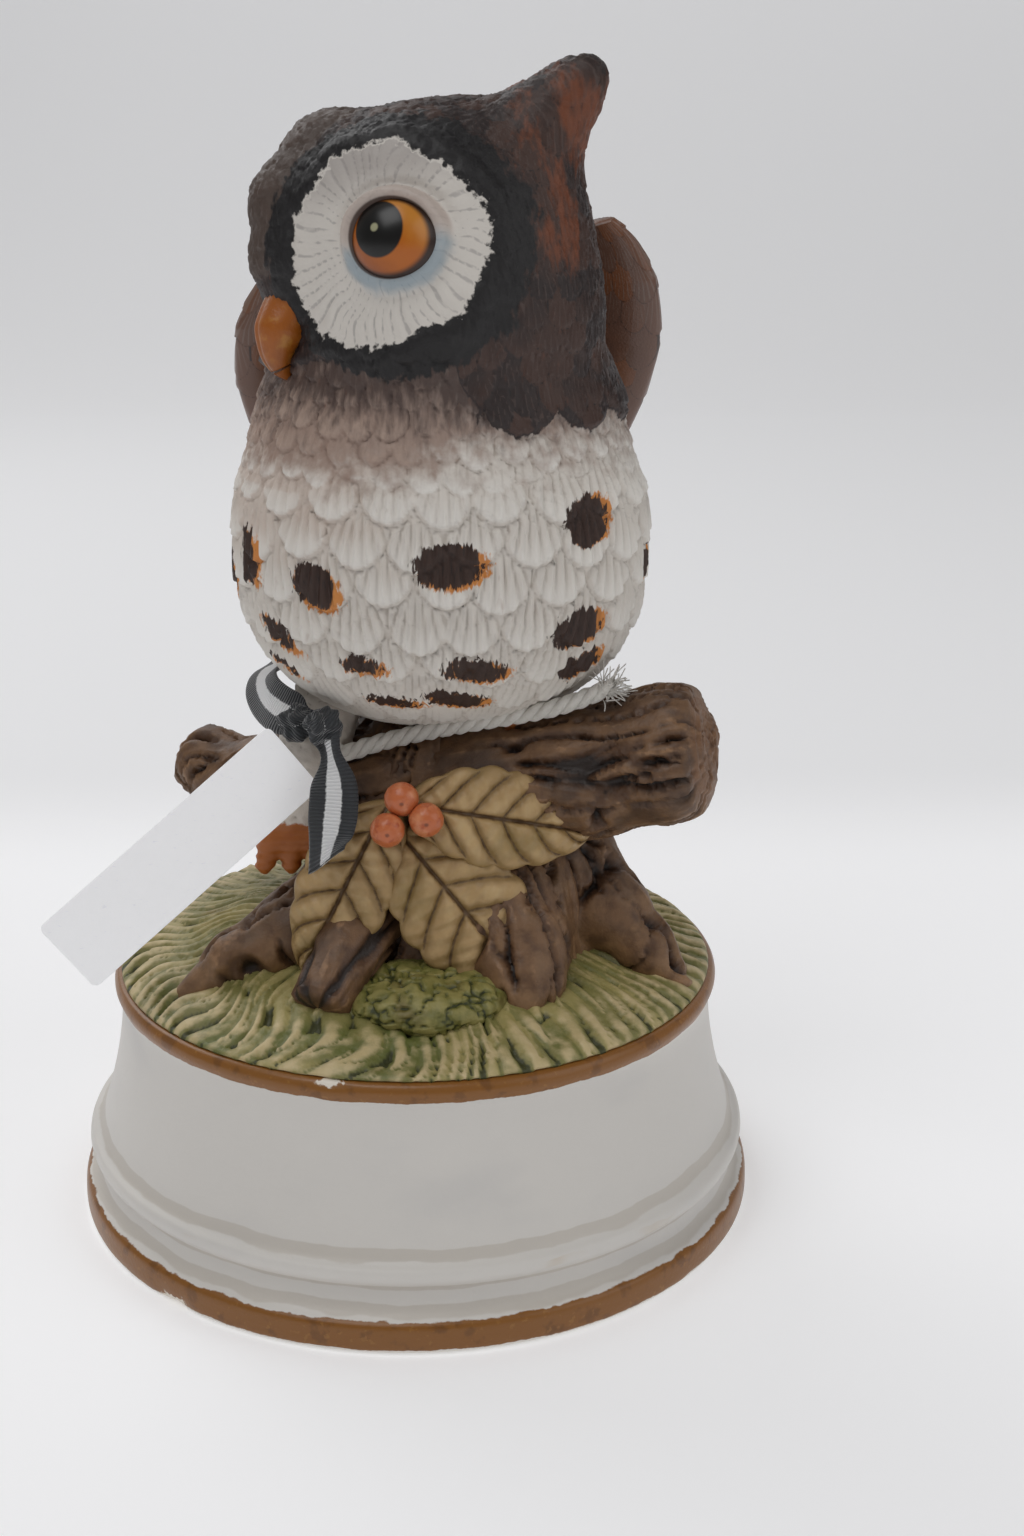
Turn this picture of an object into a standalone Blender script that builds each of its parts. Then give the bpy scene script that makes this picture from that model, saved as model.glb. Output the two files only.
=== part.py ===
"""Owl figurine in painted bisque porcelain, on a hollow drum base that holds a musical movement.

An owl with its head turned to its right sits on a log. The log lies on a stump with roots, leaves and
berries, on a grassy mound that closes the top of the drum. A wind-up movement hangs on a plate inside
the drum, and its key turns in the recess under the plate. Twine, a ribbon and a blank card tag are
tied round the perch. Sizes are in millimetres and go through MM into metres. +Z is up, the owl's
breast faces -Y, and the origin is the centre of the drum's foot.
"""

import math

import bmesh
import bpy
from mathutils import Matrix, Vector

MM = 0.001
GAP = 0.3  # clearance between pieces that touch

# Drum base and ground
FOOT_R = 47.5
RIM_R = 41.9
RIM_Z = 34.0
GROUND_TOP_Z = 40.5
GROUND_R = 37.6

# Owl
BODY_C = Vector((4.0, 0.0, 96.5))
BODY_R = Vector((28.0, 26.0, 27.0))
HEAD_C = Vector((2.6, -1.0, 126.5))
HEAD_R = Vector((21.8, 19.8, 21.6))  # across, fore and aft, up
HEAD_BOXINESS = 2.35  # exponent of the head's superellipsoid, 2 being an ellipsoid
HEAD_YAW = -68.0  # degrees, towards the owl's right
HEAD_PITCH = 8.0  # beak down
HEAD_ROLL = 9.5  # the owl's right side lower
SHELL = 3.6  # wall of the cast body and head

# Perch
LOG_RIGHT = Vector((39.0, -17.0, 70.0))
LOG_LEFT = Vector((-21.0, 5.0, 57.0))
STUMP_C = Vector((5.0, -3.0, 0.0))

# Musical movement: the wind-up axis is vertical and the tune cylinder lies along X
PLATE_Z = 7.6
PLATE_T = 2.0
PLATE_R = 41.6
BED_Z = PLATE_Z + PLATE_T + GAP
BED_T = 1.5
ARBOR = Vector((-13.0, 0.0, 0.0))
ARBOR_R = 1.5
CROWN_TEETH = 24
CROWN_R = 10.5
PITCH = 2 * math.pi * CROWN_R / CROWN_TEETH
PINION_TEETH = 10
PINION_R = PINION_TEETH * PITCH / (2 * math.pi)
HOUSING_Z = BED_Z + BED_T + GAP
HOUSING_H = 6.0
CROWN_Z = HOUSING_Z + HOUSING_H + 0.4
CROWN_PITCH_Z = CROWN_Z + 2.1
AXIS_Z = CROWN_PITCH_Z + PINION_R
DRUM_X0 = ARBOR.x + CROWN_R + 3.2  # left end of the tune cylinder
DRUM_LENGTH = 18.0
DRUM_R = 5.7
NOTES = 18
TRAIN_PITCH = 1.5  # tooth pitch of the governor train
TRAIN_WHEEL_TEETH = 24
TRAIN_PINION_TEETH = 8
WORM_WHEEL_TEETH = 20


def clear_scene():
    for obj in list(bpy.data.objects):
        bpy.data.objects.remove(obj)


def material(name, colour, roughness=0.6, metallic=0.0):
    made = bpy.data.materials.get(name)
    if made is None:
        made = bpy.data.materials.new(name)
        made.use_nodes = True
        shader = made.node_tree.nodes["Principled BSDF"]
        shader.inputs["Base Color"].default_value = (*colour, 1.0)
        shader.inputs["Roughness"].default_value = roughness
        shader.inputs["Metallic"].default_value = metallic
    return made


def finishes():
    return {
        "white": material("white_bisque", (0.78, 0.76, 0.73), 0.55),
        "grass": material("grass_paint", (0.30, 0.31, 0.13), 0.5),
        "bark": material("bark_paint", (0.20, 0.12, 0.07), 0.5),
        "leaf": material("leaf_paint", (0.52, 0.41, 0.22), 0.5),
        "berry": material("berry_paint", (0.72, 0.18, 0.10), 0.35),
        "feather": material("brown_feather_paint", (0.10, 0.06, 0.045), 0.5),
        "beak": material("beak_paint", (0.58, 0.25, 0.03), 0.35),
        "brass": material("brass", (0.75, 0.58, 0.28), 0.3, 1.0),
        "steel": material("steel", (0.55, 0.55, 0.56), 0.35, 1.0),
        "plastic": material("white_plastic", (0.72, 0.71, 0.68), 0.5),
        "twine": material("cotton_twine", (0.74, 0.70, 0.65), 0.9),
        "ribbon": material("black_ribbon", (0.02, 0.02, 0.025), 0.85),
        "card": material("white_card", (0.84, 0.83, 0.82), 0.8),
    }


def solid(name, shape, finish=None, smooth=True):
    """Makes an object of a bmesh whose points are in millimetres."""
    bmesh.ops.recalc_face_normals(shape, faces=shape.faces)
    mesh = bpy.data.meshes.new(name)
    shape.to_mesh(mesh)
    shape.free()
    mesh.transform(Matrix.Scale(MM, 4))
    if smooth:
        mesh.shade_smooth()
        mesh.set_sharp_from_angle(angle=math.radians(40))
    obj = bpy.data.objects.new(name, mesh)
    bpy.context.scene.collection.objects.link(obj)
    if finish is not None:
        mesh.materials.append(finish)
    return obj


def grown(shape, gap=GAP):
    """A copy of a bmesh, larger by the gap all round."""
    copy = shape.copy()
    bmesh.ops.recalc_face_normals(copy, faces=copy.faces)
    copy.normal_update()
    moves = [v.normal * gap * v.calc_shell_factor() for v in copy.verts]
    for vert, move in zip(copy.verts, moves):
        vert.co += move
    return copy


def cut(obj, *shapes, gap=GAP):
    """Cuts each shape out of an object, and leaves the gap between them."""
    for shape in shapes:
        cutter = solid(obj.name + "_cutter", grown(shape, gap) if gap else shape.copy())
        cutter.hide_render = True
        cutter.display_type = "WIRE"
        boolean = obj.modifiers.new("cut", "BOOLEAN")
        boolean.operation = "DIFFERENCE"
        boolean.object = cutter
    return obj


def lathe(profile, segments=48, centre=(0, 0, 0), axis="Z"):
    """Turns a closed (radius, height) outline about an axis through centre."""
    shape = bmesh.new()
    verts = [shape.verts.new((r, 0, z)) for r, z in profile]
    edges = [shape.edges.new((a, b)) for a, b in zip(verts, verts[1:] + verts[:1])]
    bmesh.ops.spin(
        shape, geom=verts + edges, cent=(0, 0, 0), axis=(0, 0, 1), angle=2 * math.pi,
        steps=segments, use_merge=True, use_duplicate=False,
    )
    bmesh.ops.remove_doubles(shape, verts=shape.verts, dist=1e-4)
    bmesh.ops.dissolve_degenerate(shape, edges=shape.edges, dist=1e-4)
    loose = [e for e in shape.edges if not e.link_faces]
    bmesh.ops.delete(shape, geom=loose, context="EDGES")
    turn = {
        "Z": Matrix.Identity(4),
        "X": Matrix.Rotation(math.radians(90), 4, "Y"),
        "Y": Matrix.Rotation(math.radians(-90), 4, "X"),
    }[axis]
    shape.transform(Matrix.Translation(Vector(centre)) @ turn)
    return shape


def rod(radius, start, end, centre=(0, 0, 0), axis="Z", segments=20):
    """A plain cylinder from start to end along an axis."""
    return lathe([(0, start), (radius, start), (radius, end), (0, end)], segments, centre, axis)


def ellipsoid(centre, radii, turn=None, across=26, up=15, boxiness=2.0):
    """An ellipsoid, or a boxier superellipsoid, about a centre."""
    shape = bmesh.new()
    bmesh.ops.create_uvsphere(shape, u_segments=across, v_segments=up, radius=1.0)
    for vert in shape.verts:
        x, y, z = vert.co
        reach = (abs(x) ** boxiness + abs(y) ** boxiness + abs(z) ** boxiness) ** (1 / boxiness)
        vert.co /= reach
    frame = Matrix.Translation(Vector(centre)) @ (turn or Matrix.Identity(4))
    shape.transform(frame @ Matrix.Diagonal((*radii, 1.0)))
    return shape


def sweep(points, radii, sides=14, flatten=1.0, up=(0, 0, 1)):
    """A tapering limb through points. flatten squeezes each ring across its up direction."""
    points = [Vector(p) for p in points]
    shape = bmesh.new()
    rings = []
    for i, (point, radius) in enumerate(zip(points, radii)):
        ahead = points[min(i + 1, len(points) - 1)] - points[max(i - 1, 0)]
        ahead.normalize()
        side = ahead.cross(Vector(up)).normalized()
        top = side.cross(ahead)
        ring = []
        for k in range(sides):
            angle = 2 * math.pi * k / sides
            offset = side * math.cos(angle) + top * math.sin(angle) * flatten
            ring.append(shape.verts.new(point + offset * radius))
        rings.append(ring)
    for low, high in zip(rings, rings[1:]):
        for k in range(sides):
            shape.faces.new((low[k], low[(k + 1) % sides], high[(k + 1) % sides], high[k]))
    shape.faces.new(rings[0][::-1])
    shape.faces.new(rings[-1])
    return shape


def prism(outline, low, high, centre=(0, 0, 0), axis="Z"):
    """Extrudes a flat outline from low to high along an axis."""
    shape = bmesh.new()
    base = [shape.verts.new((x, y, low)) for x, y in outline]
    face = shape.faces.new(base)
    made = bmesh.ops.extrude_face_region(shape, geom=[face])
    top = [g for g in made["geom"] if isinstance(g, bmesh.types.BMVert)]
    bmesh.ops.translate(shape, verts=top, vec=(0, 0, high - low))
    turn = Matrix.Identity(4)
    if axis == "X":
        turn = Matrix(((0, 0, 1, 0), (1, 0, 0, 0), (0, 1, 0, 0), (0, 0, 0, 1)))
    shape.transform(Matrix.Translation(Vector(centre)) @ turn)
    return shape


def block(low, high):
    """A box between two corners."""
    corners = [(low[0], low[1]), (high[0], low[1]), (high[0], high[1]), (low[0], high[1])]
    return prism(corners, low[2], high[2])


def gear_outline(teeth, pitch, phase=0.0, thickness=0.36, tip=0.26, root=0.36):
    """A spur gear's outline. thickness, tip and root are shares of the tooth pitch."""
    pitch_r = teeth * pitch / (2 * math.pi)
    outline = []
    for k in range(teeth):
        middle = 2 * math.pi * (k + phase) / teeth
        half = math.pi / teeth * thickness
        for radius, turn in (
            (pitch_r - root * pitch, -1.5 * half),
            (pitch_r + tip * pitch, -0.6 * half),
            (pitch_r + tip * pitch, 0.6 * half),
            (pitch_r - root * pitch, 1.5 * half),
        ):
            angle = middle + turn
            outline.append((radius * math.cos(angle), radius * math.sin(angle)))
    return outline


def head_frame():
    """Turns the head's own axes (X its left, -Y its beak, Z its crown) into the object's."""
    yaw = Matrix.Rotation(math.radians(HEAD_YAW), 4, "Z")
    pitch = Matrix.Rotation(math.radians(HEAD_PITCH), 4, "X")
    roll = Matrix.Rotation(math.radians(-HEAD_ROLL), 4, "Y")
    return yaw @ roll @ pitch


def in_head(x, y, z):
    """A point given in the head's own axes."""
    return HEAD_C + head_frame().to_3x3() @ Vector((x, y, z))


# --- drum base -----------------------------------------------------------------------------------


def drum_profile():
    """The drum wall: foot band, bead, waisted wall and rim outside, ledges for plate and ground inside."""
    outside = [
        (46.6, 0.0), (FOOT_R, 1.0), (FOOT_R, 3.7), (45.7, 5.4), (45.4, 8.2), (46.2, 9.6), (46.1, 11.0),
        (44.8, 12.4), (42.9, 18.0), (41.4, 26.0), (41.2, 29.4), (RIM_R + 0.3, 31.4), (41.0, RIM_Z),
    ]
    inside = [
        (GROUND_R + GAP, RIM_Z), (GROUND_R + GAP, 30.6), (36.4, 30.6), (36.4, 27.0), (39.6, 14.0),
        (39.6, PLATE_Z + PLATE_T + GAP), (PLATE_R + GAP, PLATE_Z + PLATE_T + GAP),
        (PLATE_R + GAP, PLATE_Z - 1.0), (42.6, 0.0),
    ]
    return outside + inside


def ground_profile():
    """The grassy mound, a thick shell that rests on the drum's upper ledge."""
    crown = GROUND_TOP_Z
    return [
        (0.0, 35.5), (16.0, 34.6), (28.0, 33.2), (34.6, 31.2), (GROUND_R, 30.6 + GAP), (GROUND_R, 34.2),
        (33.0, 36.0), (24.0, 38.3), (14.0, crown - 0.5), (0.0, crown),
    ]


def ground_shape():
    return lathe(ground_profile(), 32)


def make_base(paint):
    solid("base_drum", lathe(drum_profile(), 48), paint["white"])
    solid("grass_mound", ground_shape(), paint["grass"])


# --- perch ---------------------------------------------------------------------------------------


def stump_shape():
    heights = (37.5, 41.0, 47.0, 54.0, 60.0)
    widths = (23.0, 20.0, 18.0, 17.5, 15.0)
    spine = [STUMP_C + Vector((0, 0.12 * (z - heights[0]), z)) for z in heights]
    return sweep(spine, widths, 20, 0.82, up=(0, 1, 0))


def log_shape():
    """The log: broad under the owl, with a sawn end at the owl's left."""
    shares = (0.0, 0.08, 0.3, 0.52, 0.72, 0.9, 0.975, 1.0)
    radii = (6.0, 8.0, 10.2, 10.6, 9.2, 8.0, 7.2, 5.6)
    points = [LOG_LEFT.lerp(LOG_RIGHT, t) + Vector((0, 0, -1.6 * math.sin(math.pi * t))) for t in shares]
    return sweep(points, radii, 16)


def branch_shape():
    points = [(-16, 5, 56.5), (-22, 8, 56.5), (-27, 11, 56.2), (-30.5, 13.2, 56.6)]
    return sweep(points, (5.2, 4.4, 3.9, 3.6), 12)


def root_shapes():
    return {
        "root_left": sweep(
            [(-8, -8, 47), (-16, -12, 43), (-24, -15, 39.5), (-31, -17.5, 36.3)], (6.5, 5.2, 3.8, 2.2), 12
        ),
        "root_right": sweep(
            [(21, -6, 50), (26, -9, 44), (31, -12, 39.5), (35.5, -14.5, 36.0)], (5.5, 4.6, 3.6, 2.2), 12
        ),
        "root_front": sweep(
            [(12, -14, 47), (13, -18.5, 42), (13.5, -22.5, 38.5), (13.5, -25, 36.5)], (7, 6.2, 4.8, 2.6), 12
        ),
        "root_back": sweep(
            [(2, 10, 47), (0, 17, 42), (-3, 24, 38.5), (-6, 29, 36.0)], (7, 5.8, 4.2, 2.4), 12
        ),
    }


def knot_shape():
    points = [(-6.0, -15.0, 46.0), (-8.5, -19.5, 43.5), (-10.8, -23.5, 40.6), (-12.4, -26.6, 38.4)]
    return sweep(points, (4.8, 4.3, 3.9, 3.0), 12)


def moss_shape():
    return ellipsoid((1.5, -24.0, 38.6), (10.0, 7.5, 3.6), None, 18, 10)


def make_perch(paint):
    ground, stump, log = ground_shape(), stump_shape(), log_shape()
    body = ellipsoid(BODY_C, BODY_R)
    roots = root_shapes()
    cut(solid("perch_log", log.copy(), paint["bark"]), body)
    cut(solid("stump", stump.copy(), paint["bark"]), ground, log, body)
    cut(solid("log_branch", branch_shape(), paint["bark"]), log)
    for name, root in roots.items():
        cut(solid(name, root.copy(), paint["bark"]), ground, stump, log)
    cut(solid("knot_stub", knot_shape(), paint["bark"]), ground, stump, roots["root_left"])
    cut(
        solid("moss_mound", moss_shape(), paint["grass"]),
        ground, stump, knot_shape(), roots["root_front"],
    )


# --- leaves and berries --------------------------------------------------------------------------

LEAVES = {  # middle, length, width, turn in the leaf's plane, lean of its face to the side and up
    "leaf_lower": (Vector((6.6, -19.6, 48.6)), 24.0, 15.0, -50.0, 6.0, 12.0),
    "leaf_upper": (Vector((10.5, -18.2, 60.4)), 24.0, 13.0, -12.0, 10.0, 12.0),
    "leaf_side": (Vector((-9.0, -18.0, 51.0)), 24.0, 11.0, -114.0, -14.0, 10.0),
}
BERRIES = {
    "berry_top": Vector((-2.0, -20.6, 64.0)),
    "berry_right": Vector((1.0, -22.2, 61.9)),
    "berry_left": Vector((-3.8, -22.6, 60.6)),
}
BERRY_R = 2.5
LEAF_T = 3.0


def leaf_shape(name):
    middle, length, width, turn, side, lean = LEAVES[name]
    frame = (
        Matrix.Rotation(math.radians(side), 4, "Z")
        @ Matrix.Rotation(math.radians(-lean), 4, "X")
        @ Matrix.Rotation(math.radians(-turn), 4, "Y")
    )
    return ellipsoid(middle, (length / 2, LEAF_T, width / 2), frame, 14, 8)


def make_leaves(paint):
    stump, log, roots = stump_shape(), log_shape(), root_shapes()
    knot, moss = knot_shape(), moss_shape()
    held = [stump, log, roots["root_front"], roots["root_left"], knot, moss]
    for name in LEAVES:
        shape = leaf_shape(name)
        cut(solid(name, shape.copy(), paint["leaf"]), *held)
        held.append(shape)
    placed = [leaf_shape(name) for name in LEAVES] + [stump, log]
    for name, centre in BERRIES.items():
        berry = ellipsoid(centre, (BERRY_R,) * 3, None, 12, 7)
        cut(solid(name, berry.copy(), paint["berry"]), *placed)
        placed.append(berry)


# --- owl -----------------------------------------------------------------------------------------


def body_shape(inset=0.0, across=24, up=15):
    radii = BODY_R - Vector((inset,) * 3)
    return ellipsoid(BODY_C, radii, None, across, up)


def head_shape(inset=0.0, across=24, up=15):
    radii = HEAD_R - Vector((inset,) * 3)
    return ellipsoid(HEAD_C, radii, head_frame(), across, up, HEAD_BOXINESS)


def beak_shape():
    profile = ((-17.0, 0.4), (-20.4, -2.2), (-22.2, -6.0), (-21.2, -9.6))
    points = [in_head(0, y, z) for y, z in profile]
    return sweep(points, (4.2, 4.0, 2.9, 0.7), 12, up=(0, 0, 1))


def tuft_shape(side):
    points = [
        in_head(11.0 * side, 6.0, 12.0), in_head(14.2 * side, 10.4, 15.8),
        in_head(16.8 * side, 13.8, 18.2), in_head(18.6 * side, 16.0, 19.6),
    ]
    return sweep(points, (6.4, 5.2, 3.8, 2.2), 12, 0.8)


WINGS = {  # shoulder, bend, tip
    "wing_left": ((24.5, 14.0, 131.0), (35.0, 19.0, 112.0), (13.0, 28.0, 76.0)),
    "wing_right": ((-15.5, 15.0, 124.0), (-28.0, 19.0, 108.0), (-5.0, 28.0, 76.0)),
}


def wing_shape(name):
    shoulder, bend, tip = (Vector(p) for p in WINGS[name])
    outward = 1.0 if name == "wing_left" else -1.0
    points, radii = [], (3.6, 8.4, 10.8, 11.4, 10.2, 7.0, 2.2)
    for k in range(len(radii)):
        t = k / (len(radii) - 1)
        points.append(shoulder * (1 - t) ** 2 + bend * 2 * t * (1 - t) + tip * t * t)
    return sweep(points, radii, 14, 0.36, up=(0.45 * outward, 1, 0.25))


def tail_shape():
    points = [(4, 17, 88), (4, 24, 78), (4, 29, 67), (4, 32, 56)]
    return sweep(points, (9.0, 10.0, 10.5, 8.5), 14, 0.34, up=(0, 1, 0.4))


def foot_shape(name):
    """A feathered leg with three toes over the front of the log, as one limb with a splayed end."""
    if name == "foot_right":
        points = [(-11.0, -4.0, 73.0), (-13.6, -5.6, 66.0), (-15.6, -7.6, 60.0), (-16.4, -8.0, 54.5)]
    else:
        points = [(14.0, -3.0, 77.0), (15.5, -6.0, 74.5), (16.5, -8.5, 73.6), (17.2, -10.2, 73.2)]
    return sweep(points, (5.0, 4.2, 3.6, 2.2), 12)


def make_owl(paint):
    body, head = body_shape(), head_shape()
    throat = rod(11.0, BODY_C.z + 10.0, HEAD_C.z, (BODY_C.x, BODY_C.y, 0))
    owl_body = solid("owl_body", body.copy(), paint["white"])
    cut(owl_body, body_shape(SHELL, 16, 9), throat, gap=0)
    owl_head = solid("owl_head", head.copy(), paint["feather"])
    cut(owl_head, body)
    cut(owl_head, head_shape(SHELL, 16, 9), gap=0)
    cut(solid("beak", beak_shape(), paint["beak"]), head)
    for name, side in (("ear_tuft_left", 1), ("ear_tuft_right", -1)):
        cut(solid(name, tuft_shape(side), paint["feather"]), head)
    for name in WINGS:
        cut(solid(name, wing_shape(name), paint["feather"]), body, head)
    log, stump, ground = log_shape(), stump_shape(), ground_shape()
    cut(
        solid("tail", tail_shape(), paint["feather"]),
        body, log, stump, ground, *(wing_shape(name) for name in WINGS),
    )
    for name in ("foot_left", "foot_right"):
        cut(solid(name, foot_shape(name), paint["beak"]), body, log, stump, branch_shape())


# --- musical movement ----------------------------------------------------------------------------

PLATE_SCREWS = {
    "plate_screw_1": (-24.0, 14.0),
    "plate_screw_2": (-24.0, -14.0),
    "plate_screw_3": (22.0, 17.0),
}
COMB_Y = DRUM_R + 0.9  # nearest the comb's tips come to the cylinder's axis
COMB_BACK_Y = 21.0


def bed_outline():
    return [(-27.5, -17.5), (30.5, -17.5), (30.5, 13.0), (26.0, 22.5), (-20.0, 22.5), (-27.5, 16.5)]


def crown_shape():
    """A contrate wheel: a flat wheel whose teeth stand up from its rim."""
    shape = bmesh.new()
    inner, outer = CROWN_R - 1.3, CROWN_R + 1.1
    low, web = CROWN_Z, CROWN_Z + 1.0
    root, tip = CROWN_PITCH_Z - 1.1, CROWN_PITCH_Z + 0.65
    stations = []
    for k in range(CROWN_TEETH):
        middle = 2 * math.pi * (k + 0.5) / CROWN_TEETH
        half = math.pi / CROWN_TEETH
        for turn, top in ((-0.52, root), (-0.2, tip), (0.2, tip), (0.52, root)):
            stations.append((middle + turn * half, top))
    rings = []
    for angle, top in stations:
        bore = ARBOR_R + GAP
        section = [(bore, low), (outer, low), (outer, top), (inner, top), (inner, web), (bore, web)]
        rings.append([
            shape.verts.new((ARBOR.x + r * math.cos(angle), ARBOR.y + r * math.sin(angle), z))
            for r, z in section
        ])
    for one, two in zip(rings, rings[1:] + rings[:1]):
        for k in range(len(one)):
            n = (k + 1) % len(one)
            shape.faces.new((one[k], two[k], two[n], one[n]))
    return shape


def tune_cylinder_shape():
    """The pinned cylinder. Small pins stand on it, some for each note, in a fixed pattern."""
    shape = bmesh.new()
    around, step = 20, DRUM_LENGTH / NOTES
    rings = []
    for i in range(NOTES + 1):
        ring = []
        for k in range(around):
            angle = 2 * math.pi * k / around
            ring.append(shape.verts.new((
                DRUM_X0 + i * step, DRUM_R * math.cos(angle), AXIS_Z + DRUM_R * math.sin(angle)
            )))
        rings.append(ring)
    pins = []
    for i, (one, two) in enumerate(zip(rings, rings[1:])):
        for k in range(around):
            n = (k + 1) % around
            face = shape.faces.new((one[k], one[n], two[n], two[k]))
            if (7 * i + 5 * k + i * k) % 13 == 0:
                pins.append(face)
    shape.faces.new(rings[0])
    shape.faces.new(rings[-1][::-1])
    bmesh.ops.recalc_face_normals(shape, faces=shape.faces)
    bmesh.ops.inset_individual(shape, faces=pins, thickness=0.3)
    shape.normal_update()
    raised = bmesh.ops.extrude_discrete_faces(shape, faces=pins)["faces"]
    for face in raised:
        bmesh.ops.translate(shape, verts=face.verts, vec=face.normal * 0.5)
    return shape


def comb_outline():
    """The comb from above: a bar with one tooth for each note, all but touching the pins."""
    step = DRUM_LENGTH / NOTES
    outline = [(DRUM_X0 + DRUM_LENGTH + 0.5, COMB_BACK_Y), (DRUM_X0 - 0.5, COMB_BACK_Y)]
    outline.append((DRUM_X0 - 0.5, 13.5))
    for k in range(NOTES):
        left = DRUM_X0 + k * step + 0.18
        right = left + step - 0.36
        root = 13.5 + 0.12 * k
        outline += [(left, root), (left, COMB_Y), (right, COMB_Y), (right, root)]
    outline.append((DRUM_X0 + DRUM_LENGTH + 0.5, 15.5))
    return outline


def key_shape():
    """The winding key: two flat wings, seen from below as a figure of eight, round a hub."""
    outline = []
    for k in range(32):
        angle = 2 * math.pi * k / 32
        reach = 3.6 + 6.2 * abs(math.cos(angle)) ** 1.4
        outline.append((reach * math.cos(angle), reach * math.sin(angle)))
    return prism(outline, 1.2, 5.4, ARBOR)


def screw_shape(x, y, head_z, head_r, head_h, shank_r, shank_h, up=True):
    """A pan head with a slotless domed top and a plain shank. up says which way the shank goes."""
    way = 1.0 if up else -1.0
    profile = [
        (0.0, head_z), (head_r * 0.7, head_z), (head_r, head_z + way * head_h * 0.4),
        (head_r, head_z + way * head_h), (shank_r, head_z + way * head_h),
        (shank_r, head_z + way * (head_h + shank_h)), (0.0, head_z + way * (head_h + shank_h)),
    ]
    return lathe(profile, 12, (x, y, 0))


def spiral_shape():
    """The mainspring: a flat strip wound in a spiral, as an outline raised to the strip's width."""
    turns, count, thick = 3.4, 44, 0.5
    inner, outer = [], []
    for k in range(count + 1):
        angle = 2 * math.pi * turns * k / count
        reach = 2.4 + 7.0 * k / count
        for line, r in ((inner, reach), (outer, reach + thick)):
            line.append((r * math.cos(angle), r * math.sin(angle)))
    return prism(inner + outer[::-1], HOUSING_Z + 0.5, HOUSING_Z + HOUSING_H - 1.6, ARBOR)


def bracket_shape(x, width, y_half=4.5):
    """An upright bearing for a horizontal shaft along X, standing on the bedplate."""
    z0 = BED_Z + BED_T + GAP
    outline = [(-y_half, z0), (y_half, z0), (y_half, AXIS_Z)]
    outline += [(y_half * math.cos(t), AXIS_Z + y_half * math.sin(t)) for t in (0.6, 1.2, 1.9, 2.5)]
    outline.append((-y_half, AXIS_Z))
    return prism(outline, x, x + width, axis="X")


TRAIN_WHEEL_R = TRAIN_WHEEL_TEETH * TRAIN_PITCH / (2 * math.pi)
TRAIN_PINION_R = TRAIN_PINION_TEETH * TRAIN_PITCH / (2 * math.pi)
TRAIN_X = DRUM_X0 + DRUM_LENGTH + 0.8  # where the cylinder's gear begins
GOVERNOR_Y = -(TRAIN_WHEEL_R + TRAIN_PINION_R)
WORM_PITCH = 1.0
WORM_WHEEL_X = TRAIN_X + 3.0
WORM_WHEEL_R = WORM_WHEEL_TEETH * WORM_PITCH / (2 * math.pi)
WORM_X = WORM_WHEEL_X + 0.6
WORM_Y = GOVERNOR_Y - WORM_WHEEL_R - 1.3
WORM_HALF = 2.25


def worm_shape():
    """The endless screw: a right-handed thread, cut so that a gap faces the worm wheel's tooth."""
    shape = bmesh.new()
    centre = Vector((WORM_X, WORM_Y, 0))
    low, around = AXIS_Z - WORM_HALF, 8
    sections = int(2 * WORM_HALF / WORM_PITCH * around)
    rings = []
    for i in range(sections + 1):
        z = low + 2 * WORM_HALF * i / sections
        ring = []
        for k in range(around):
            angle = 2 * math.pi * k / around
            phase = ((z - low) / WORM_PITCH - k / around) % 1.0
            radius = 0.75 + 0.5 * max(0.0, 1.0 - abs(phase - 0.5) * 3.2)
            offset = Vector((radius * math.cos(angle), radius * math.sin(angle), z))
            ring.append(shape.verts.new(centre + offset))
        rings.append(ring)
    for one, two in zip(rings, rings[1:]):
        for k in range(around):
            n = (k + 1) % around
            shape.faces.new((one[k], one[n], two[n], two[k]))
    shape.faces.new(rings[0][::-1])
    shape.faces.new(rings[-1])
    return shape


def join(obj, *shapes):
    """Adds shapes to an object, each overlapping it, as one body."""
    for shape in shapes:
        part = solid(obj.name + "_part", shape)
        part.hide_render = True
        part.display_type = "WIRE"
        boolean = obj.modifiers.new("join", "BOOLEAN")
        boolean.operation = "UNION"
        boolean.object = part
    return obj


def turning(obj, x, y, z):
    """Puts a moving piece's origin on its joint's axis."""
    origin = Vector((x, y, z)) * MM
    obj.data.transform(Matrix.Translation(-origin))
    obj.location = origin
    return obj


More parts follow.
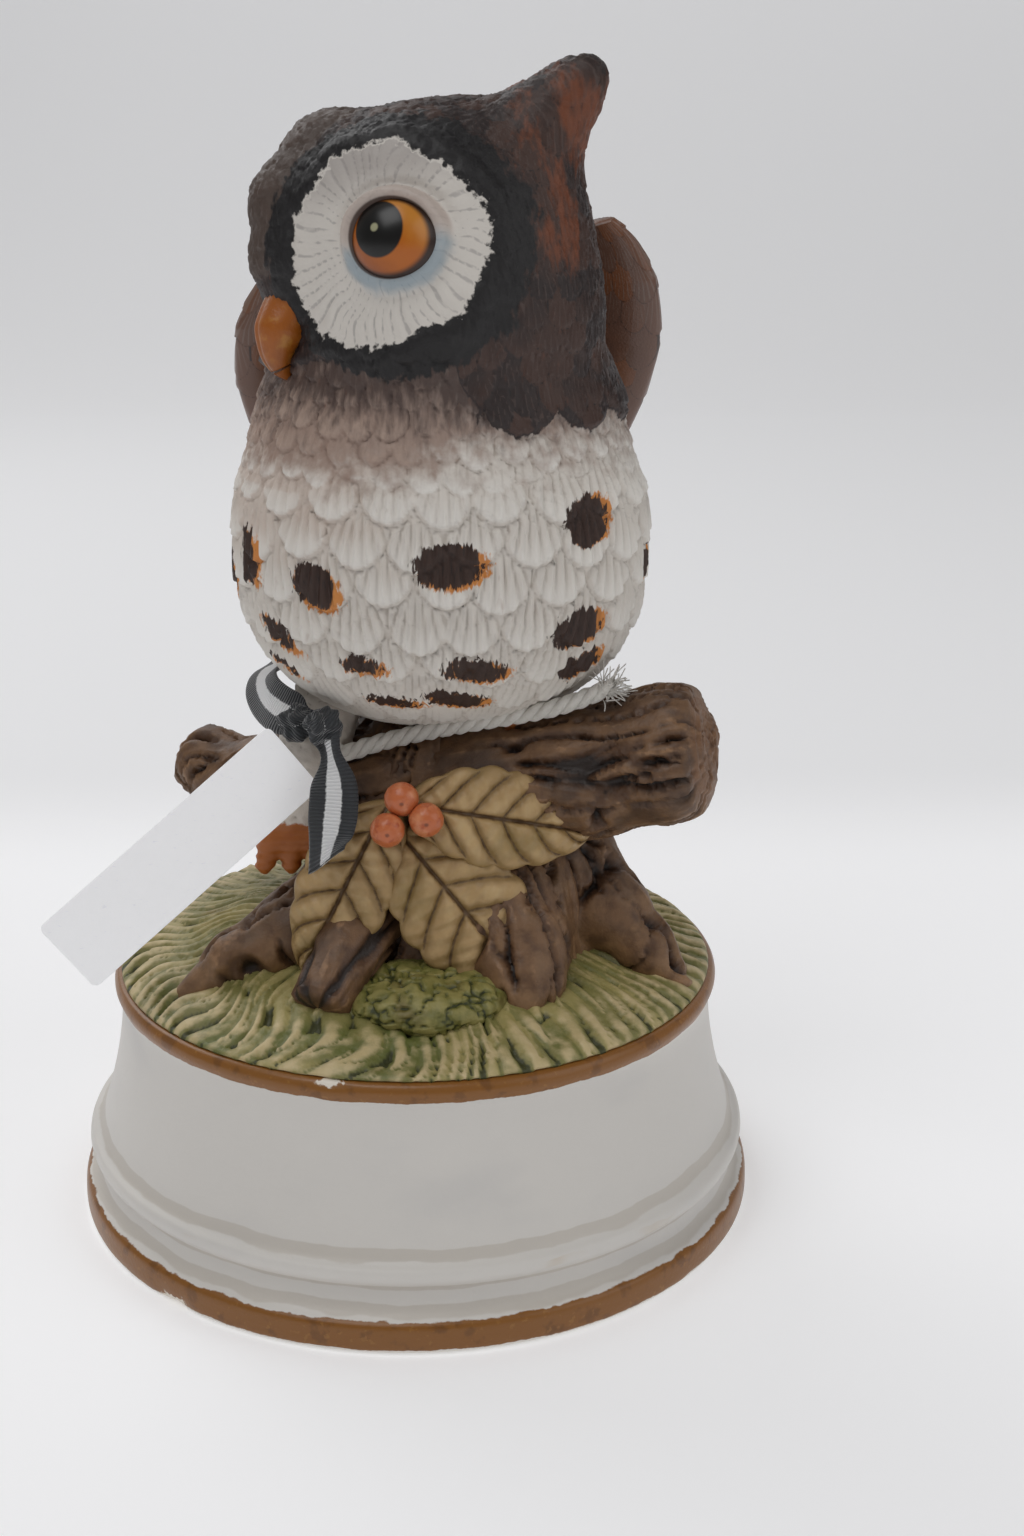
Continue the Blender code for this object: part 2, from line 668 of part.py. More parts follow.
def make_winding_parts(paint):
    arbor = rod(ARBOR_R, 3.4, CROWN_Z + 2.1, ARBOR)
    screws = {name: screw_shape(x, y, 6.1, 2.6, 1.2, 1.2, 5.0) for name, (x, y) in PLATE_SCREWS.items()}
    plate = rod(PLATE_R, PLATE_Z, PLATE_Z + PLATE_T, segments=36)
    cut(solid("bottom_plate", plate, paint["plastic"]), arbor, *screws.values())
    bed = prism(bed_outline(), BED_Z, BED_Z + BED_T)
    cut(solid("movement_bedplate", bed, paint["steel"], False), arbor, *screws.values())
    for name, screw in screws.items():
        solid(name, screw, paint["steel"])
    key = solid("winding_key", key_shape(), paint["plastic"])
    turning(cut(key, arbor), ARBOR.x, ARBOR.y, 0)
    turning(solid("winding_arbor", arbor, paint["steel"]), ARBOR.x, ARBOR.y, 0)
    low, high, wall = HOUSING_Z, HOUSING_Z + HOUSING_H, 0.9
    cup = [
        (11.4, low), (11.4, high), (ARBOR_R + GAP, high), (ARBOR_R + GAP, high - wall),
        (11.4 - wall, high - wall), (11.4 - wall, low),
    ]
    solid("spring_housing", lathe(cup, 24, ARBOR), paint["steel"])
    solid("mainspring", spiral_shape(), paint["steel"])
    turning(solid("crown_gear", crown_shape(), paint["brass"], False), ARBOR.x, ARBOR.y, 0)


def make_cylinder_parts(paint):
    shaft = rod(1.1, -4.4, TRAIN_X + 3.9, (0, 0, AXIS_Z), "X", 14)
    centre = (0, 0, AXIS_Z)
    pinion = prism(gear_outline(PINION_TEETH, PITCH, 0.5), -3.7, -1.5, centre, "X")
    wheel = prism(gear_outline(TRAIN_WHEEL_TEETH, TRAIN_PITCH), TRAIN_X, TRAIN_X + 1.5, centre, "X")
    pieces = {
        "tune_cylinder": (tune_cylinder_shape(), "brass"),
        "cylinder_pinion": (pinion, "brass"),
        "cylinder_gear": (wheel, "brass"),
        "bearing_left": (bracket_shape(-1.0, 1.3), "steel"),
        "bearing_right": (bracket_shape(TRAIN_X + 1.9, 1.3, 3.4), "steel"),
    }
    for name, (shape, finish) in pieces.items():
        made = cut(solid(name, shape, paint[finish], name == "tune_cylinder"), shaft)
        if not name.startswith("bearing"):
            turning(made, *centre)
    turning(solid("cylinder_shaft", shaft, paint["steel"]), *centre)


def make_comb(paint):
    comb_low = AXIS_Z - 0.4
    screws = {
        f"comb_screw_{k + 1}": screw_shape(x, 18.0, comb_low + 2.6, 1.9, 1.1, 0.9, 5.0, up=False)
        for k, x in enumerate((DRUM_X0 + 4.0, DRUM_X0 + DRUM_LENGTH - 4.0))
    }
    comb = prism(comb_outline(), comb_low, comb_low + 1.2)
    cut(solid("tone_comb", comb, paint["steel"], False), *screws.values())
    base = block((DRUM_X0, 15.0, BED_Z + BED_T + GAP), (DRUM_X0 + DRUM_LENGTH, 21.0, comb_low - GAP))
    cut(solid("comb_base", base, paint["steel"], False), *screws.values())
    for name, screw in screws.items():
        solid(name, screw, paint["steel"])


def make_governor(paint):
    z0, y_back = BED_Z + BED_T + GAP, WORM_Y - 4.9
    x0, x1 = TRAIN_X - 1.7, WORM_X + 3.0
    arbor = rod(0.6, x0 - 0.4, x1 + 0.2, (0, GOVERNOR_Y, AXIS_Z), "X", 12)
    spindle = rod(0.5, AXIS_Z - 6.9, AXIS_Z + 7.6, (WORM_X, WORM_Y, 0), segments=10)
    frame = solid(
        "governor_frame", block((x0, y_back, z0), (x1, GOVERNOR_Y + 1.2, z0 + 1.2)), paint["steel"], False
    )
    join(
        frame,
        block((x0, GOVERNOR_Y - 1.3, z0 + 0.5), (x0 + 1.0, GOVERNOR_Y + 1.1, AXIS_Z + 1.5)),
        block((x1 - 1.2, GOVERNOR_Y - 1.4, z0 + 0.5), (x1 - 0.1, GOVERNOR_Y + 1.0, AXIS_Z + 1.5)),
        block((WORM_X - 1.9, y_back + 0.1, z0 + 0.5), (WORM_X + 1.9, y_back + 1.3, AXIS_Z + 7.2)),
        block((WORM_X - 1.7, y_back + 0.5, AXIS_Z - 6.4), (WORM_X + 1.7, WORM_Y + 1.8, AXIS_Z - 5.4)),
        block((WORM_X - 1.6, y_back + 0.6, AXIS_Z + 6.2), (WORM_X + 1.6, WORM_Y + 1.7, AXIS_Z + 7.1)),
    )
    cut(frame, arbor, spindle)
    centre = (0, GOVERNOR_Y, AXIS_Z)
    pinion = gear_outline(TRAIN_PINION_TEETH, TRAIN_PITCH, 0.5)
    wheel = gear_outline(WORM_WHEEL_TEETH, WORM_PITCH)
    gears = {
        "governor_pinion": prism(pinion, TRAIN_X - 0.1, TRAIN_X + 1.6, centre, "X"),
        "worm_wheel": prism(wheel, WORM_WHEEL_X, WORM_WHEEL_X + 1.2, centre, "X"),
    }
    for name, gear in gears.items():
        turning(cut(solid(name, gear, paint["brass"], False), arbor, gap=0.2), *centre)
    turning(solid("governor_arbor", arbor, paint["steel"]), *centre)
    worm = join(solid("endless_worm", worm_shape(), paint["steel"]), spindle.copy())
    turning(worm, WORM_X, WORM_Y, 0)
    hub = rod(1.1, AXIS_Z + 3.4, AXIS_Z + 5.6, (WORM_X, WORM_Y, 0), segments=12)
    fly = solid("air_fly", hub, paint["plastic"])
    low, high = AXIS_Z + 3.5, AXIS_Z + 5.5
    join(fly, block((WORM_X - 2.4, WORM_Y - 0.25, low), (WORM_X + 2.4, WORM_Y + 0.25, high)))
    turning(cut(fly, spindle, gap=0.2), WORM_X, WORM_Y, 0)


# --- twine, ribbon and tag -----------------------------------------------------------------------

TWINE_R = 1.2
TWINE_ROUTE = (
    (-12.0, -14.0, 70.6), (-10.9, -12.4, 68.2), (-9.0, -11.2, 67.2), (-6.0, -10.8, 68.0), (-2.0, -11.2, 69.2),
    (3.2, -12.4, 70.7), (8.5, -13.5, 72.0), (13.2, -14.5, 73.1), (17.5, -15.2, 74.2), (21.4, -15.6, 75.6),
    (25.2, -15.8, 77.3),
)
RIBBON_HALF = 3.7
RIBBON_ROUTE = (
    (-8.0, 16.4, 74.4), (-12.8, 13.2, 74.6), (-16.8, 8.6, 74.8), (-19.4, 3.0, 74.8), (-20.3, -2.4, 74.5),
    (-19.6, -7.2, 73.8), (-17.6, -11.2, 73.2), (-15.0, -13.6, 72.9), (-12.6, -15.2, 72.8),
    (-11.3, -17.2, 71.4), (-10.6, -19.2, 68.6), (-10.3, -21.4, 65.0), (-10.6, -23.4, 61.2),
    (-11.3, -25.0, 57.2),
)
TAG_TOP = Vector((-15.4, -16.6, 68.4))
TAG_FOOT = Vector((-43.8, -28.0, 45.8))
TAG_WIDTH = 10.6
TAG_T = 0.5


def smooth_route(route, spacing):
    """Points read from a Catmull-Rom curve through the route's points."""
    points = [Vector(p) for p in route]
    padded = [2 * points[0] - points[1], *points, 2 * points[-1] - points[-2]]
    read = []
    for a, b, c, d in zip(padded, padded[1:], padded[2:], padded[3:]):
        count = max(1, round((c - b).length / spacing))
        for k in range(count):
            t = k / count
            bend = (2 * a - 5 * b + 4 * c - d) * t * t + (3 * b - 3 * c + d - a) * t ** 3
            read.append((2 * b + (c - a) * t + bend) / 2)
    read.append(points[-1])
    return read


def make_twine(paint):
    curve = bpy.data.curves.new("twine", "CURVE")
    curve.dimensions = "3D"
    curve.bevel_depth = TWINE_R * MM
    curve.bevel_resolution = 2
    curve.use_fill_caps = True
    points = smooth_route(TWINE_ROUTE, 2.5 * 2 * TWINE_R)
    spline = curve.splines.new("POLY")
    spline.points.add(len(points) - 1)
    for target, point in zip(spline.points, points):
        target.co = (*(point * MM), 1.0)
    obj = bpy.data.objects.new("twine", curve)
    obj.data.materials.append(paint["twine"])
    bpy.context.scene.collection.objects.link(obj)


def make_ribbon(paint):
    points = smooth_route(RIBBON_ROUTE, 3.0)
    band = sweep(points, [RIBBON_HALF] * len(points), 8, 0.14, up=(-0.5, -0.75, 0.45))
    solid("ribbon", band, paint["ribbon"])


def make_tag(paint):
    along = TAG_FOOT - TAG_TOP
    length = along.length
    along.normalize()
    across = Vector((0.51, 0.0, -0.86))
    across = (across - along * across.dot(along)).normalized()
    half, corner = TAG_WIDTH / 2, 2.0
    outline = []
    for x, y, start in (
        (half - corner, length - corner, 0), (corner - half, length - corner, 90),
        (corner - half, corner, 180), (half - corner, corner, 270),
    ):
        for turn in range(0, 91, 30):
            angle = math.radians(start + turn)
            outline.append((x + corner * math.cos(angle), y + corner * math.sin(angle)))
    card = prism(outline, -TAG_T / 2, TAG_T / 2)
    frame = Matrix((across, along, across.cross(along))).transposed().to_4x4()
    card.transform(Matrix.Translation(TAG_TOP) @ frame)
    solid("price_tag", card, paint["card"], False)


def main():
    clear_scene()
    paint = finishes()
    make_base(paint)
    make_perch(paint)
    make_leaves(paint)
    make_owl(paint)
    make_winding_parts(paint)
    make_cylinder_parts(paint)
    make_comb(paint)
    make_governor(paint)
    make_twine(paint)
    make_ribbon(paint)
    make_tag(paint)


main()
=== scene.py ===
"""Looks for the owl figurine: hand-painted bisque porcelain on a drum that holds a musical movement.

Shapes are worked out in millimetres, in the CAD model's frame, and go through MM into metres.
The owl, its feet, the log and the stump are contoured from signed distance fields, and the relief of
feathers, bark, leaves and grass is geometry. Most pieces carry marks, which are numbers on each vertex
that their paint reads.
"""

import itertools
import math

import bpy
import numpy as np
from mathutils import Matrix


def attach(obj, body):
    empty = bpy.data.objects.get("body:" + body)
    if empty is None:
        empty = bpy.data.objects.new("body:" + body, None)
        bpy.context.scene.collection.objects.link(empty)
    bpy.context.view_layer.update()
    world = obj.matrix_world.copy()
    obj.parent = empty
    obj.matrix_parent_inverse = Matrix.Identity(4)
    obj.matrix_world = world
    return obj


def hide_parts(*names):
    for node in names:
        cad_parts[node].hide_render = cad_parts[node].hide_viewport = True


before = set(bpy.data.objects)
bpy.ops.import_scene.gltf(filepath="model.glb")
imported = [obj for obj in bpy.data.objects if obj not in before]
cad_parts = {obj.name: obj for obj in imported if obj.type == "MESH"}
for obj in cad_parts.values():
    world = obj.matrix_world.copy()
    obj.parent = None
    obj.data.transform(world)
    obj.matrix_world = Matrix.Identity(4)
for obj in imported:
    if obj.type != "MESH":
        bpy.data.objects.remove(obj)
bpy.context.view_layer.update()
MM = 0.001
FIXED = "figurine"  # the body that everything but the movement rides on


# --- arithmetic ----------------------------------------------------------------------------------


def vec(*numbers):
    return np.array(numbers, float)


def unit(v):
    return v / np.maximum(np.linalg.norm(v, axis=-1, keepdims=True), 1e-9)


def ease(low, high, x):
    """0 below low, 1 above high, smooth between."""
    t = np.clip((x - low) / (high - low), 0, 1)
    return t * t * (3 - 2 * t)


def bell(x, width):
    """1 at 0, falling smoothly to nothing on both sides."""
    return np.exp(-((x / width) ** 2))


def lattice(cell, seed):
    """A repeatable number from 0 to 1 for each whole-number lattice point."""
    n = cell[..., 0] * 374761393 + cell[..., 1] * 668265263 + cell[..., 2] * 1440662683
    n = n + seed * 982451653
    n = (n ^ (n >> 13)) * 1274126177
    return ((n ^ (n >> 16)) & 0xFFFFFF) / 0xFFFFFF


def noise(p, size, seed):
    """Smooth noise from -1 to 1, with features about size across."""
    q = p / size
    cell = np.floor(q).astype(np.int64)
    f = q - cell
    f = f * f * (3 - 2 * f)
    total = 0
    for corner in itertools.product((0, 1), repeat=3):
        weight = np.prod(np.where(np.array(corner) == 1, f, 1 - f), axis=-1)
        total = total + weight * lattice(cell + np.array(corner), seed)
    return 2 * total - 1


def flat(u, v, lift=0):
    """Places in a plane, to look noise up at."""
    return np.stack([u, v, 0 * v + lift], -1)


def fractal(p, size, seed):
    """Noise in three sizes, each half the one before."""
    return sum(noise(p, size / 2 ** k, seed + k) / 2 ** k for k in range(3)) / 1.75


def hashed(row, column, seed):
    """A repeatable number from 0 to 1 for each feather or blade."""
    cell = np.stack([row, column, np.zeros_like(row)], -1).astype(np.int64)
    return lattice(cell, seed)


def scales(u, v, width, drop, seed):
    """Overlapping fan feathers with tips towards -v, the upper rows lying over the lower ones.

    Returns the relief from 0 to 1, the ribs from -1 to 1 and a random number for each feather.
    """
    reach = 0.62 * width
    relief, ribs, pick = np.zeros_like(u), np.zeros_like(u), np.zeros_like(u)
    free = np.ones(u.shape, bool)
    top = np.floor((v + reach) / drop) + 1
    for below in range(int(reach / drop) + 3):
        row = top - below
        column = np.round(u / width - 0.5 * (row % 2))
        chance = hashed(row, column, seed)
        across = u - (column + 0.5 * (row % 2) + 0.16 * (chance - 0.5)) * width
        under = (row + 0.3 * (hashed(row, column, seed + 1) - 0.5)) * drop - v
        edge = np.hypot(across / (0.56 * width), np.maximum(under, 0) / reach)
        here = free & (edge < 1) & (under > -1.6 * drop)
        along = np.clip((under + drop) / (drop + reach), 0, 1)
        lip = ease(0, 0.16, 1 - edge)
        fan = np.arctan2(across, under + 1.15 * width)
        relief = np.where(here, (0.30 + 0.70 * along) * (0.25 + 0.75 * lip), relief)
        ribs = np.where(here, np.cos(fan * 44) * lip * ease(0.05, 0.4, along), ribs)
        pick = np.where(here, chance, pick)
        free = free & ~here
    return relief, ribs, pick


# --- signed distance fields ----------------------------------------------------------------------


def blob(p, centre, radii, power=2.0):
    """About the signed distance to a superellipsoid."""
    q = np.abs(p - centre) / radii
    size = np.maximum((q ** power).sum(-1), 1e-12) ** (1 / power)
    slope = np.sqrt(((q ** (power - 1) / radii) ** 2).sum(-1)) / size ** (power - 1)
    return (size - 1) / np.maximum(slope, 1e-3)


def limb(p, points, radii, soft):
    """The signed distance to a chain of tapering round segments, merged softly."""
    near = None
    points = [vec(*q) for q in points]
    for a, b, ra, rb in zip(points, points[1:], radii, radii[1:]):
        ab = b - a
        t = np.clip((p - a) @ ab / (ab @ ab), 0, 1)
        d = np.linalg.norm(p - a - t[..., None] * ab, axis=-1) - (ra + (rb - ra) * t)
        near = d if near is None else merge(near, d, soft)
    return near


def merge(a, b, soft):
    """The union of two fields, rounded where they meet."""
    h = np.maximum(soft - np.abs(a - b), 0)
    return np.minimum(a, b) - h * h / (4 * soft)


def slope_of(field, p):
    """The field's gradient, by central differences."""
    reach = 0.04
    steps = np.eye(3) * reach
    return np.stack([(field(p + s) - field(p - s)) / (2 * reach) for s in steps], -1)


def contour(field, low, high, size):
    """Points, outward normals and quads where field is 0, by surface nets drawn onto the surface."""
    axes = [np.arange(a, b + size, size) for a, b in zip(low, high)]
    value = field(np.stack(np.meshgrid(*axes, indexing="ij"), -1))
    inside = value < 0
    count = np.zeros([n - 1 for n in value.shape], int)
    corners = np.array(list(itertools.product((0, 1), repeat=3)))
    for corner in corners:
        count += inside[tuple(slice(c, n - 1 + c) for c, n in zip(corner, value.shape))]
    cells = np.argwhere((count > 0) & (count < 8))
    number = np.full(count.shape, -1)
    number[tuple(cells.T)] = np.arange(len(cells))
    total, hits = np.zeros((len(cells), 3)), np.zeros((len(cells), 1))
    quads = []
    for axis in range(3):
        step = np.eye(3, dtype=int)[axis]
        for corner in corners[corners[:, axis] == 0]:
            a, b = value[tuple((cells + corner).T)], value[tuple((cells + corner + step).T)]
            crossed = (a < 0) != (b < 0)
            share = np.where(crossed, a / np.where(crossed, a - b, 1), 0)
            total += crossed[:, None] * (corner + share[:, None] * step)
            hits += crossed[:, None]
        ahead = np.roll(inside, -1, axis)
        edges = np.argwhere(inside != ahead)
        edges = edges[edges[:, axis] < inside.shape[axis] - 1]
        u, v = np.roll(step, 1), np.roll(step, 2)
        ring = [number[tuple((edges - back).T)] for back in (0 * u, u, u + v, v)]
        ring = np.stack(ring, 1)
        outward = inside[tuple(edges.T)]
        quads.append(np.where(outward[:, None], ring, ring[:, ::-1]))
    points = np.array(low) + size * (cells + total / hits)
    for _ in range(2):
        slope = slope_of(field, points)
        points = points - slope * (field(points) / np.maximum((slope ** 2).sum(-1), 0.05))[:, None]
    return points, unit(slope_of(field, points)), np.concatenate(quads)


# --- meshes --------------------------------------------------------------------------------------


def smooth_normals(points, quads):
    """Area-weighted vertex normals."""
    a, b, c, d = (points[quads[:, k]] for k in range(4))
    face = np.cross(c - a, d - b)
    total = np.zeros_like(points)
    for k in range(4):
        np.add.at(total, quads[:, k], face)
    return unit(total)


def piece(name, points, faces, finish, slot, nodes=(), normals=None, **marks):
    """A mesh piece with its marks, which rides on the fixed body and stands for CAD nodes."""
    mesh = bpy.data.meshes.new(name)
    mesh.from_pydata((points * MM).tolist(), [], [list(map(int, f)) for f in faces])
    mesh.shade_smooth()
    for mark, values in marks.items():
        field = mesh.attributes.new(mark, "FLOAT", "POINT")
        field.data.foreach_set("value", np.asarray(values, np.float32).ravel())
    if normals is not None:
        mesh.normals_split_custom_set_from_vertices(normals.tolist())
    mesh.materials.append(finish)
    made = bpy.data.objects.new(name, mesh)
    bpy.context.scene.collection.objects.link(made)
    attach(made, FIXED)
    if nodes:
        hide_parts(*nodes)
    return made


def grid_faces(rows, columns, wrap):
    r, c = np.meshgrid(np.arange(rows - 1), np.arange(columns if wrap else columns - 1), indexing="ij")
    d = (c + 1) % columns
    ring = (r * columns + c, r * columns + d, (r + 1) * columns + d, (r + 1) * columns + c)
    return np.stack([x.ravel() for x in ring], 1)


def tube_faces(rings):
    """Faces of a closed tube of rings, with a face at each end."""
    rows, columns = rings.shape[:2]
    last = (rows - 1) * columns
    ends = [list(range(columns))[::-1], list(range(last, last + columns))]
    return grid_faces(rows, columns, True).tolist() + ends


def tube(name, rings, finish, slot, nodes=(), **marks):
    return piece(name, rings.reshape(-1, 3), tube_faces(rings), finish, slot, nodes, **marks)


def joined(tubes):
    """The points and faces of several closed tubes, each given by its rings."""
    points, faces, base = [], [], 0
    for rings in tubes:
        faces += [[base + i for i in f] for f in tube_faces(rings)]
        points.append(rings.reshape(-1, 3))
        base += len(points[-1])
    return np.vstack(points), faces


def turned(*steps):
    """The rotation that takes each (axis, degrees) step in the frame of the steps before it."""
    turn = Matrix.Identity(3)
    for axis, degrees in steps:
        turn = turn @ Matrix.Rotation(math.radians(degrees), 3, axis)
    return np.array(turn)


def circle(count):
    """Evenly spaced angles round a full turn."""
    return np.linspace(0, 2 * math.pi, count, endpoint=False)


def hoops(side, top, angle, flatten=1.0):
    """Directions at each angle round a path, from its side and top directions."""
    return side[:, None] * np.cos(angle)[..., None] + top[:, None] * (np.sin(angle) * flatten)[..., None]


def ball(rows, columns):
    """Directions in rings from pole to pole, with their angles from the pole and round it."""
    t = np.linspace(0.02, 0.98, rows)[:, None] * math.pi
    a = circle(columns)[None, :]
    return np.stack([np.sin(t) * np.cos(a), np.sin(t) * np.sin(a), np.cos(t) + 0 * a], -1), t, a


def curve(route, count):
    """count evenly spaced points on a Catmull-Rom curve through the route."""
    points = np.array(route, float)
    padded = np.vstack([2 * points[0] - points[1], points, 2 * points[-1] - points[-2]])
    t = np.linspace(0, 1, 24, endpoint=False)[:, None]
    dense = []
    for a, b, c, d in zip(padded, padded[1:], padded[2:], padded[3:]):
        bend = (2 * a - 5 * b + 4 * c - d) * t ** 2 + (3 * b - 3 * c + d - a) * t ** 3
        dense.append((2 * b + (c - a) * t + bend) / 2)
    dense = np.vstack(dense + [points[-1:]])
    run = np.concatenate([[0], np.linalg.norm(np.diff(dense, axis=0), axis=1).cumsum()])
    at = np.linspace(0, run[-1], count)
    return np.stack([np.interp(at, run, column) for column in dense.T], 1)


def frames(path, up):
    """Tangent, side and top directions along a path, as the CAD sweeps use them."""
    ahead = unit(np.gradient(path, axis=0))
    side = unit(np.cross(ahead, up))
    return ahead, side, np.cross(side, ahead)


def spread(values, count):
    """Values interpolated at count places along their list."""
    return np.interp(np.linspace(0, len(values) - 1, count), np.arange(len(values)), values)


# --- paint ---------------------------------------------------------------------------------------


def rgb(*screen):
    """A linear colour from 0-255 screen values."""
    return tuple(((c / 255 + 0.055) / 1.055) ** 2.4 for c in screen) + (1.0,)


class Paint:
    """A procedural material, built one layer of colour at a time. Sizes are in millimetres."""

    def __init__(self, name, colour, roughness, tone=(1, 1, 1), **sockets):
        self.material = bpy.data.materials.new(name)
        self.material.use_nodes = True
        tree = self.material.node_tree
        self.nodes, self.links = tree.nodes, tree.links
        self.shader = self.nodes["Principled BSDF"]
        self.shader.inputs["Roughness"].default_value = roughness
        for socket, value in sockets.items():
            self.shader.inputs[socket.replace("_", " ").title()].default_value = value
        self.place = self.nodes.new("ShaderNodeTexCoord").outputs["Object"]
        self.tone = tone  # what the firing leaves of the colours' red, green and blue
        self.colour = self.fired(colour)

    def fired(self, colour):
        """The colour that a 0-255 screen colour has after the firing."""
        return tuple(c * t for c, t in zip(rgb(*colour), (*self.tone, 1)))

    def node(self, kind, output, inputs, **settings):
        made = self.nodes.new("ShaderNode" + kind)
        for key, value in settings.items():
            setattr(made, key, value)
        for key, value in inputs.items():
            if isinstance(value, bpy.types.NodeSocket):
                self.links.new(value, made.inputs[key])
            else:
                made.inputs[key].default_value = value
        return made.outputs[output]

    def value(self, value):
        """The value, or the piece's mark of that name."""
        if isinstance(value, str):
            return self.node("Attribute", "Fac", {}, attribute_name=value)
        return value

    def math(self, operation, a, b):
        return self.node("Math", 0, {0: self.value(a), 1: self.value(b)}, operation=operation)

    def both(self, a, b):
        return self.math("MULTIPLY", a, b)

    def grain(self, size, stretch=(1, 1, 1)):
        """Noise around 0, mostly from -0.25 to 0.25, with features about size across."""
        place = self.node("Mapping", 0, {"Vector": self.place, "Scale": stretch})
        fac = self.node("TexNoise", 0, {"Vector": place, "Scale": 1000 / size, "Detail": 3.0})
        return self.math("SUBTRACT", fac, 0.5)

    def rough(self, value, size, amount, stretch=(1, 1, 1)):
        """value with an edge broken up by noise."""
        return self.math("ADD", value, self.both(self.grain(size, stretch), amount))

    def band(self, value, low, high):
        """1 where value is between low and high, and 0 elsewhere."""
        up = self.share(value, low - 0.15, low + 0.15)
        return self.math("SUBTRACT", up, self.share(value, high - 0.15, high + 0.15))

    def share(self, value, low, high):
        inputs = {"Value": self.value(value), "From Min": low, "From Max": high}
        return self.node("MapRange", "Result", inputs, interpolation_type="SMOOTHSTEP")

    def layer(self, colour, value, low, high, most=1.0):
        """Lays a colour over the ones so far, from none where value is low to most where high."""
        share = self.both(self.share(value, low, high), most)
        inputs = {0: share, 6: self.colour, 7: self.fired(colour)}
        self.colour = self.node("Mix", 2, inputs, data_type="RGBA")

    def done(self, height=None, depth=0.1, gloss=None):
        """Links the colours, a bump of height times depth, and a roughness that varies."""
        base = self.shader.inputs["Base Color"]
        if isinstance(self.colour, tuple):
            base.default_value = self.colour
        else:
            self.links.new(self.colour, base)
        if height is not None:
            inputs = {"Height": height, "Strength": 1.0, "Distance": depth * MM}
            self.links.new(self.node("Bump", 0, inputs), self.shader.inputs["Normal"])
        if gloss is not None:
            self.links.new(gloss, self.shader.inputs["Roughness"])
        return self.material


def card_paint():
    # Painted light: the card glows faintly of its own, brighter than the lamps alone make it.
    paint = Paint("white_card", (244, 244, 246), 0.6, emission_color=(1, 1, 1, 1), emission_strength=0.12)
    paint.layer((220, 221, 224), paint.grain(0.9, (1, 1, 3)), 0.05, 0.3, 0.6)
    return paint.done(paint.grain(0.25), 0.03)


def twine_paint():
    paint = Paint("cotton_twine", (226, 222, 214), 0.85, sheen_weight=0.4)
    # Painted shade: darker where the surface lies deep between the twisted strands.
    paint.layer((176, 168, 156), "hollow", 0.3, 1.0, 0.9)
    paint.layer((206, 198, 186), paint.grain(0.35), 0.0, 0.3, 0.7)
    return paint.done(paint.grain(0.16, (1, 3, 3)), 0.12)


def ribbon_paint():
    paint = Paint("black_ribbon", (24, 27, 31), 0.62, sheen_weight=0.35)
    rib = paint.math("SINE", paint.both("along", 14.0), 0.0)
    paint.layer((52, 57, 62), paint.rough(rib, 0.5, 1.4), 0.2, 1.3, 0.55)
    paint.layer((226, 226, 226), paint.rough("across", 0.35, 0.14), 0.36, 0.28)
    paint.layer((178, 180, 182), paint.both(rib, "pale"), 0.2, 0.9, 0.4)
    return paint.done(rib, 0.06)


# --- camera, light and backdrop ------------------------------------------------------------------


LENS_LENGTH, SENSOR_WIDTH, NEAREST = 46.875, 36.0, 0.01
CAMERA_AT = (0, -0.26107, 0.14665)
CAMERA_RIGHT, CAMERA_UP = vec(0.99881, -0.04813, 0.00779), vec(0.00755, 0.31058, 0.95052)
LIGHTS = {  # place, size, power
    "key": ((-0.25, -0.35, 0.85), 0.6, 2.7),
    "fill": ((0.65, -0.35, 0.45), 0.6, 1.15),
    "back": ((-0.35, 0.5, 0.6), 0.5, 1.5),
}
LIT_POINT = vec(0, 0, 0.08)
SKY_COLOUR, SKY_STRENGTH = (1.0, 1.0, 1.02, 1.0), 0.19


def placed(place, right, up):
    """The matrix that puts a camera or light at place, with those directions to its right and up."""
    turn = Matrix(np.stack([right, up, np.cross(right, up)], 1).tolist()).to_4x4()
    return Matrix.Translation(place) @ turn


def make_camera():
    lens = bpy.data.cameras.new("camera")
    lens.lens, lens.sensor_width, lens.clip_start = LENS_LENGTH, SENSOR_WIDTH, NEAREST
    camera = bpy.data.objects.new("camera", lens)
    camera.matrix_world = placed(CAMERA_AT, CAMERA_RIGHT, CAMERA_UP)
    bpy.context.scene.collection.objects.link(camera)
    bpy.context.scene.camera = camera


def make_light(name, place, size, power):
    """A square area light that faces the owl."""
    lamp = bpy.data.lights.new(name, "AREA")
    lamp.size, lamp.energy = size, power
    light = bpy.data.objects.new(name, lamp)
    back = unit(vec(*place) - LIT_POINT)
    side = unit(np.cross((0, 1, 0.01), back))
    light.matrix_world = placed(place, side, np.cross(back, side))
    bpy.context.scene.collection.objects.link(light)


